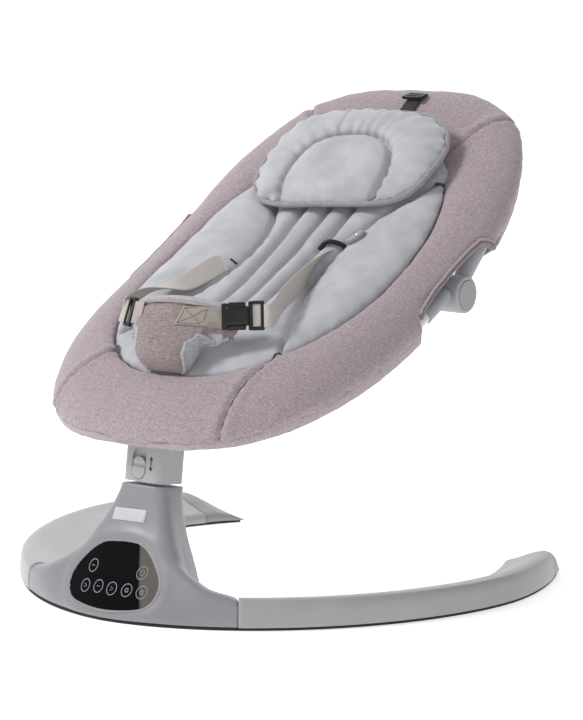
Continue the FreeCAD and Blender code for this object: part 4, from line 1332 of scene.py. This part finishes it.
def pom_ring(z, yf, yb, w):
    out = []
    m, h = (yf + yb) / 2, (yb - yf) / 2
    for i in range(48):
        x, y = se(2 * pi * i / 48, w, h, 3.2)
        x *= (1.0 + 0.30 * min(1.0, max(0.0, (z - 256) / 50))) if x < 0 else 1.0
        # the front stays flatter than the back
        out.append(P(x, m + y - 2.0 * (1 - (x / w) ** 2) * (y < 0), z))
    return out


pom = loft_obj("pom_tmp", [pom_ring(*[float(np.interp(z, [q[0] for q in POM], [q[k] for q in POM])) if k else z for k in range(4)]) for z in np.linspace(255.5, 312, 30)], [LINEN])
bm = bmesh.new()
bm.from_mesh(band.data)
bm.from_mesh(pom.data)
bm.to_mesh(band.data)
bm.free()
bpy.data.objects.remove(pom)
crotch = band
remesh(crotch, 0.0035)
mm = get_co(crotch) * 1000 - np.array([0, DY, 0])
smooth_mesh(crotch, 6, 0.5)
pin = np.where((mm[:, 2] < 262), 1.0, 0.0)
puff(crotch, 3.0, 20, 0.004, pin)
subdiv(crotch, 1)
mm = get_co(crotch) * 1000 - np.array([0, DY, 0])
no = get_no(crotch)
set_co(crotch, (mm + no * (0.9 * fbm(mm, 0.03, 3.0) + 0.5 * fbm(mm, 0.08, 1.0))[:, None] + np.array([0, DY, 0])) / 1000)
crotch.data.materials.clear()
for m in (LINEN, LINING):
    crotch.data.materials.append(m)
SIDE_Z = [256, 262, 270, 280, 290, 298]
SIDE_Y = [-227, -229, -233, -235.5, -231, -217]
idx = []
for p in crotch.data.polygons:
    c = p.center * 1000
    y, z = c.y - DY, c.z
    gus = 256 < z < 299 and y > np.interp(z, SIDE_Z, SIDE_Y) and y < -200 + 2 and abs(c.x) > 20
    idx.append(1 if gus or (y > -199 and z < 300 and p.normal.y > -0.2) or p.normal.y > 0.4 else 0)
# even out the line between the two cloths
edge_faces = {}
for p in crotch.data.polygons:
    for k in p.edge_keys:
        edge_faces.setdefault(k, []).append(p.index)
near_faces = [[] for _ in idx]
for fs in edge_faces.values():
    for a in fs:
        near_faces[a] += [b for b in fs if b != a]
for _ in range(14):
    wide = [sum(idx[b] for b in nb) for nb in near_faces]
    idx = [1 if (wide[i] + 0.6 * idx[i] + sum(wide[b] for b in near_faces[i]) * 0.5) > 0.5 * (len(near_faces[i]) * 3 + 0.6) else 0 for i in range(len(idx))]
crotch.data.polygons.foreach_set("material_index", idx)
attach(crotch, "swing"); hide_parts("crotch_pad")
crotch_bvh = bvh_of(crotch)


def pad_hit(pt, d):
    """the pad's surface met from far out along a direction"""
    h = crotch_bvh.ray_cast(pt - d * 0.2, d)
    return h[0] if h[0] is not None else None


# bound edges of the pad: round the leg openings, and across the top
for sx, nm in ((1, "near"), (-1, "far")):
    front, back = [], []
    for z in np.linspace(257, 299, 15):
        yf = float(np.interp(z, SIDE_Z, SIDE_Y))
        h = pad_hit(P(0, yf, z), Vector((-sx, 0, 0)))
        if h is not None:
            front.append(h)
        yb = float(np.interp(z, [256, 268, 280, 292, 299], [-217, -207, -202, -200, -199]))
        h = pad_hit(P(0, yb, z), Vector((-sx, 0, 0)))
        if h is not None:
            back.append(h)
    low = []
    for x, s in ((47, 45.5), (55, 47.5), (62, 51), (66, 57)):
        h = crotch_bvh.ray_cast(cp(sx * x, s, 60), -CN)
        if h[0] is not None:
            low.append(h[0] + CN * 0.0002)
    if len(front) > 4:
        o = tube("pad_edge_front_" + nm, [Vector(q) for q in catmull([tuple(q) for q in front + low], 4)], 0.0021, LINING, seg=9)
        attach(o, "swing")
    if len(back) > 4:
        o = tube("pad_edge_back_" + nm, [Vector(q) for q in catmull([tuple(q) for q in back ], 4)], 0.0024, LINING, seg=9)
        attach(o, "swing")
o = tube("pad_edge_top", [Vector(q) for q in catmull([tuple(cp(x, 82.5 - 0.0006 * x * x, 14.0)) for x in np.linspace(-62, 62, 11)], 5)], 0.0017, BIND, seg=8)
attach(o, "swing")
o = tube("pad_roll", [Vector(q) for q in catmull([tuple(cp(x, 84.5 - 0.0012 * x * x, 5.5)) for x in np.linspace(-63, 66, 11)], 5)], 0.0068, LINING, seg=14)
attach(o, "swing")


def on_pad(x, s, lift):
    c = cp(x, s, 60)
    h = crotch_bvh.ray_cast(c, -CN)
    return (h[0] + CN * lift / 1000) if h[0] is not None else cp(x, s, 16 + lift)


def patch(name, xs, ss, lift, mat, half=12.5):
    """a webbing piece laid on the pad, following its surface both ways"""
    nw = 9
    v = []
    for x, q in zip(xs, ss):
        v += [on_pad(x, q + w, lift) for w in np.linspace(-half, half, nw)]
    for x, q in zip(xs, ss):
        v += [on_pad(x, q + w, lift - 1.6) for w in np.linspace(-half, half, nw)]
    n = len(xs)
    f = []
    for i in range(n - 1):
        for k in range(nw - 1):
            a = i * nw + k
            f.append((a, a + 1, a + nw + 1, a + nw))
            b = a + n * nw
            f.append((b, b + nw, b + nw + 1, b + 1))
    for i in range(n - 1):
        for k in (0, nw - 1):
            a, b = i * nw + k, i * nw + k + n * nw
            f.append((a, a + nw, b + nw, b))
    for i in (0, n - 1):
        for k in range(nw - 1):
            a, b = i * nw + k, i * nw + k + n * nw
            f.append((a, b, b + 1, a + 1))
    o = make(name, v, f, [mat])
    fix_normals(o)
    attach(o, "swing")
    return o


o = patch("crotch_web_right", np.linspace(7, 57, 14), np.linspace(66.5, 71.0, 14), 1.5, WEBD, 11.5)
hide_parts("crotch_webbing")
o = ribbon("crotch_web_left", [(on_pad(-56, 68, 1.0), CU), (on_pad(-63, 68, 1.3), CU), (cp(-72, 68, 15), CU), (cp(-80, 68, 12), CU)], 0.025, 0.0014, WEBD, per=5)
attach(o, "swing")
# box and cross stitches
st = []
x0, x1 = 10, 36
cy = lambda x: 66.5 + (x - 7) * 0.1
corners = [(x0, cy(x0) - 9.5), (x1, cy(x1) - 9.5), (x1, cy(x1) + 9.5), (x0, cy(x0) + 9.5)]
for run in (corners + [corners[0]], [corners[0], corners[2]], [corners[1], corners[3]]):
    for p0, p1 in zip(run[:-1], run[1:]):
        L = hypot(p1[0] - p0[0], p1[1] - p0[1])
        cnt = max(2, int(L / 2.6))
        for i in range(cnt):
            q0 = (p0[0] + (p1[0] - p0[0]) * (i + 0.15) / cnt, p0[1] + (p1[1] - p0[1]) * (i + 0.15) / cnt)
            q1 = (p0[0] + (p1[0] - p0[0]) * (i + 0.8) / cnt, p0[1] + (p1[1] - p0[1]) * (i + 0.8) / cnt)
            st.append(tube("s", [on_pad(*q0, 1.7), on_pad((q0[0] + q1[0]) / 2, (q0[1] + q1[1]) / 2, 2.0), on_pad(*q1, 1.7)], 0.00034, THREAD, seg=5))
for x in np.linspace(-38, 58, 38):
    st.append(tube("s", [on_pad(x - 0.9, 79.5 - 0.0004 * x * x, 0.1), on_pad(x, 79.5 - 0.0004 * x * x, 0.35), on_pad(x + 0.9, 79.5 - 0.0004 * x * x, 0.1)], 0.0003, THREAD, seg=5))
o = join(st, "pad_stitches")
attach(o, "swing")

# side-release buckle at the near end
ex = Vector((0.80, 0.60, 0.03)).normalized()
ey = (CU - ex * CU.dot(ex)).normalized()
ez = ex.cross(ey)
BO = cp(54, 72.5, 20.5)


def bb(x, y, z, sx, sy, sz, bev=0.0012):
    return rounded_box("b", sx, sy, sz, BLACKP, BO + ex * x + ey * y + ez * z, ex, ey, ez, bev)


parts = [bb(0.0035, 0, 0, 0.007, 0.0285, 0.0085, 0.002), bb(0.017, 0, 0, 0.026, 0.0215, 0.0115, 0.0035),
         bb(0.0165, 0.0122, 0, 0.020, 0.0058, 0.0085, 0.0026), bb(0.0165, -0.0122, 0, 0.020, 0.0058, 0.0085, 0.0026),
         bb(0.0315, 0, 0, 0.0048, 0.0315, 0.0085, 0.0018), bb(0.0445, 0, 0.0005, 0.0042, 0.0315, 0.0065, 0.0014),
         bb(0.038, 0.0143, 0, 0.016, 0.0033, 0.0068), bb(0.038, -0.0143, 0, 0.016, 0.0033, 0.0068), bb(0.0385, 0, -0.0022, 0.003, 0.028, 0.003)]
o = join(parts, "release_buckle")
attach(o, "swing"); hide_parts("buckle_near")

# ring buckle at the far end
exf = Vector((1.0, -0.35, 0.0)).normalized()
eyf = (CU - exf * CU.dot(exf)).normalized()
ezf = exf.cross(eyf)
FO = cp(-76, 68, 14.0)
parts = []
for q in (0.0, -0.010):
    parts.append(rounded_box("b", 0.0034, 0.033, 0.0046, BLACKP, FO + exf * q, exf, eyf, ezf, 0.0012))
for q in (-0.0152, 0.0152):
    parts.append(rounded_box("b", 0.013, 0.0032, 0.0046, BLACKP, FO + exf * -0.005 + eyf * q, exf, eyf, ezf, 0.0012))
o = join(parts, "ring_buckle")
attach(o, "swing"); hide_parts("buckle_far")

# waist straps


def mmv(x, y, z):
    return P(x, y, z)


bn = BO + ex * 0.0385 + ez * 0.0014
near = [(bn - ex * 0.006, ey), (bn + ex * 0.004 + ez * 0.0004, ey), (bn + ex * 0.016, (ey + Vector((0, -0.05, 0.1))).normalized()),
        (mmv(84, -128, 331), Vector((0.05, -0.25, 0.96))), (mmv(72, -88, 341), Vector((-0.05, -0.15, 0.97))),
        (mmv(60, -50, 350), Vector((0.10, 0.0, 0.93))), (mmv(49, -16, 359.5), Vector((0.45, 0.15, 0.75))), (mmv(40, 8, 365.0), Vector((0.75, 0.2, 0.45)))]
o = ribbon("waist_strap_near_web", near, 0.025, 0.0015, WEB)
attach(o, "swing"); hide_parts("waist_strap_near")
bf = FO - exf * 0.010
far = [(bf + exf * 0.002, eyf), (bf - exf * 0.010 + ezf * 0.002, eyf),
       (mmv(-98, -160, 323), Vector((0.5, 0.1, 0.75))), (mmv(-95, -118, 329), Vector((0.75, 0.2, 0.1))),
       (mmv(-86, -88, 333), Vector((0.78, 0.30, -0.35))), (mmv(-80, -62, 342), Vector((0.76, 0.32, -0.45))),
       (mmv(-75, -40, 350.5), Vector((0.72, 0.36, -0.50))), (mmv(-73, -31, 351.0), Vector((0.72, 0.36, -0.50)))]
o = ribbon("waist_strap_far_web", far, 0.025, 0.0015, WEB)
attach(o, "swing"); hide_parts("waist_strap_far")
# slot opening of the far strap and its adjuster's end
o = rounded_box("strap_slot_far", 0.010, 0.0012, 0.0035, BLACKP, mmv(-66, -24, 352.5), Vector((0.75, 0.3, -0.58)).normalized(), Vector((0.1, 0.85, 0.5)).normalized(), Vector((0.6, -0.4, 0.68)).normalized(), 0.0004, 1)
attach(o, "swing")
o = rounded_box("adjuster_far", 0.007, 0.012, 0.004, BLACKP, mmv(-110, -93, 327), Vector((0.8, 0.5, 0.2)).normalized(), Vector((-0.5, 0.8, 0.2)).normalized(), Vector((0, -0.25, 0.97)).normalized(), 0.001, 2)
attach(o, "swing")

# plastic eyelet and short strap end near the shoulder slot
p0, n0 = on_seat(76, 22, 2.8)
tx = (Vector((0.55, 0.65, 0.5)) - n0 * n0.dot(Vector((0.55, 0.65, 0.5)))).normalized()
ty = n0.cross(tx)
loop = [p0 + tx * (0.0100 * cos(g)) + ty * (0.0080 * sin(g)) + n0 * 0.001 for g in np.linspace(0, 2 * pi, 33)[:-1]]
o = tube("shoulder_eyelet", loop, 0.0026, HINGE, closed=True, seg=10)
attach(o, "backrest")
loop = [p0 + tx * (0.0048 * cos(g)) + ty * (0.0028 * sin(g)) + n0 * 0.0016 for g in np.linspace(0, 2 * pi, 33)[:-1]]
o = tube("shoulder_eyelet_core", loop, 0.0016, CHROME, closed=True, seg=8)
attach(o, "backrest")
hk = [on_seat(59, 26, 3.0)[0], on_seat(55, 22, 3.8)[0], on_seat(48, 17, 4.2)[0], on_seat(42, 12.5, 4.2)[0], on_seat(36, 9, 3.2)[0]]
o = tube("shoulder_tab", [Vector(q) for q in catmull([tuple(q) for q in hk], 8)], 0.0036, BLACKP, seg=12, flat=0.75)
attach(o, "backrest")

# ---------------------------------------------------------------- stage and light
rows = []
for i in range(41):
    q = i / 40.0
    y = -6 + 8.6 * min(1.0, q / 0.6) if q <= 0.6 else 2.6
    if q <= 0.6:
        y, z = -6 + 8.6 * q / 0.6, 0.0
    elif q <= 0.85:
        g = (q - 0.6) / 0.25 * pi / 2
        y, z = 2.6 + 1.2 * sin(g), 1.2 - 1.2 * cos(g)
    else:
        y, z = 3.8, 1.2 + (q - 0.85) / 0.15 * 3.0
    rows += [Vector((-7, y, z)), Vector((7, y, z))]
fl = make("floor", rows, grid_faces(41, 2, False, False), [])
fl.rotation_euler = (0, 0, radians(37.28))
mfl, nt, b = new_mat("floor_white")
b.inputs["Base Color"].default_value = (0.90, 0.90, 0.90, 1)
b.inputs["Roughness"].default_value = 0.95
b.inputs["Specular IOR Level"].default_value = 0.1
b.inputs["Emission Color"].default_value = (1, 1, 1, 1)
b.inputs["Emission Strength"].default_value = 0.50
fl.data.materials.append(mfl)
world = bpy.data.worlds.new("studio")
bpy.context.scene.world = world
world.use_nodes = True
bg = world.node_tree.nodes["Background"]
bg.inputs[0].default_value = (0.97, 0.98, 1.0, 1)
bg.inputs[1].default_value = 0.42
bpy.context.scene.view_settings.view_transform = "Standard"
bpy.context.scene.view_settings.look = "None"


def area(name, loc, target, size, power):
    l = bpy.data.lights.new(name, "AREA")
    l.energy = power
    l.size = size
    l.shape = "DISK"
    o = bpy.data.objects.new(name, l)
    bpy.context.scene.collection.objects.link(o)
    o.location = loc
    d = Vector(target) - Vector(loc)
    o.rotation_euler = d.to_track_quat("-Z", "Y").to_euler()
    return o


area("key", (-1.5, -1.5, 2.6), (0, 0, 0.3), 1.0, 54)
area("fill", (1.9, -1.6, 1.2), (0, 0, 0.3), 1.6, 3)
area("rim", (-0.6, 2.0, 1.9), (0, 0, 0.3), 1.2, 10)
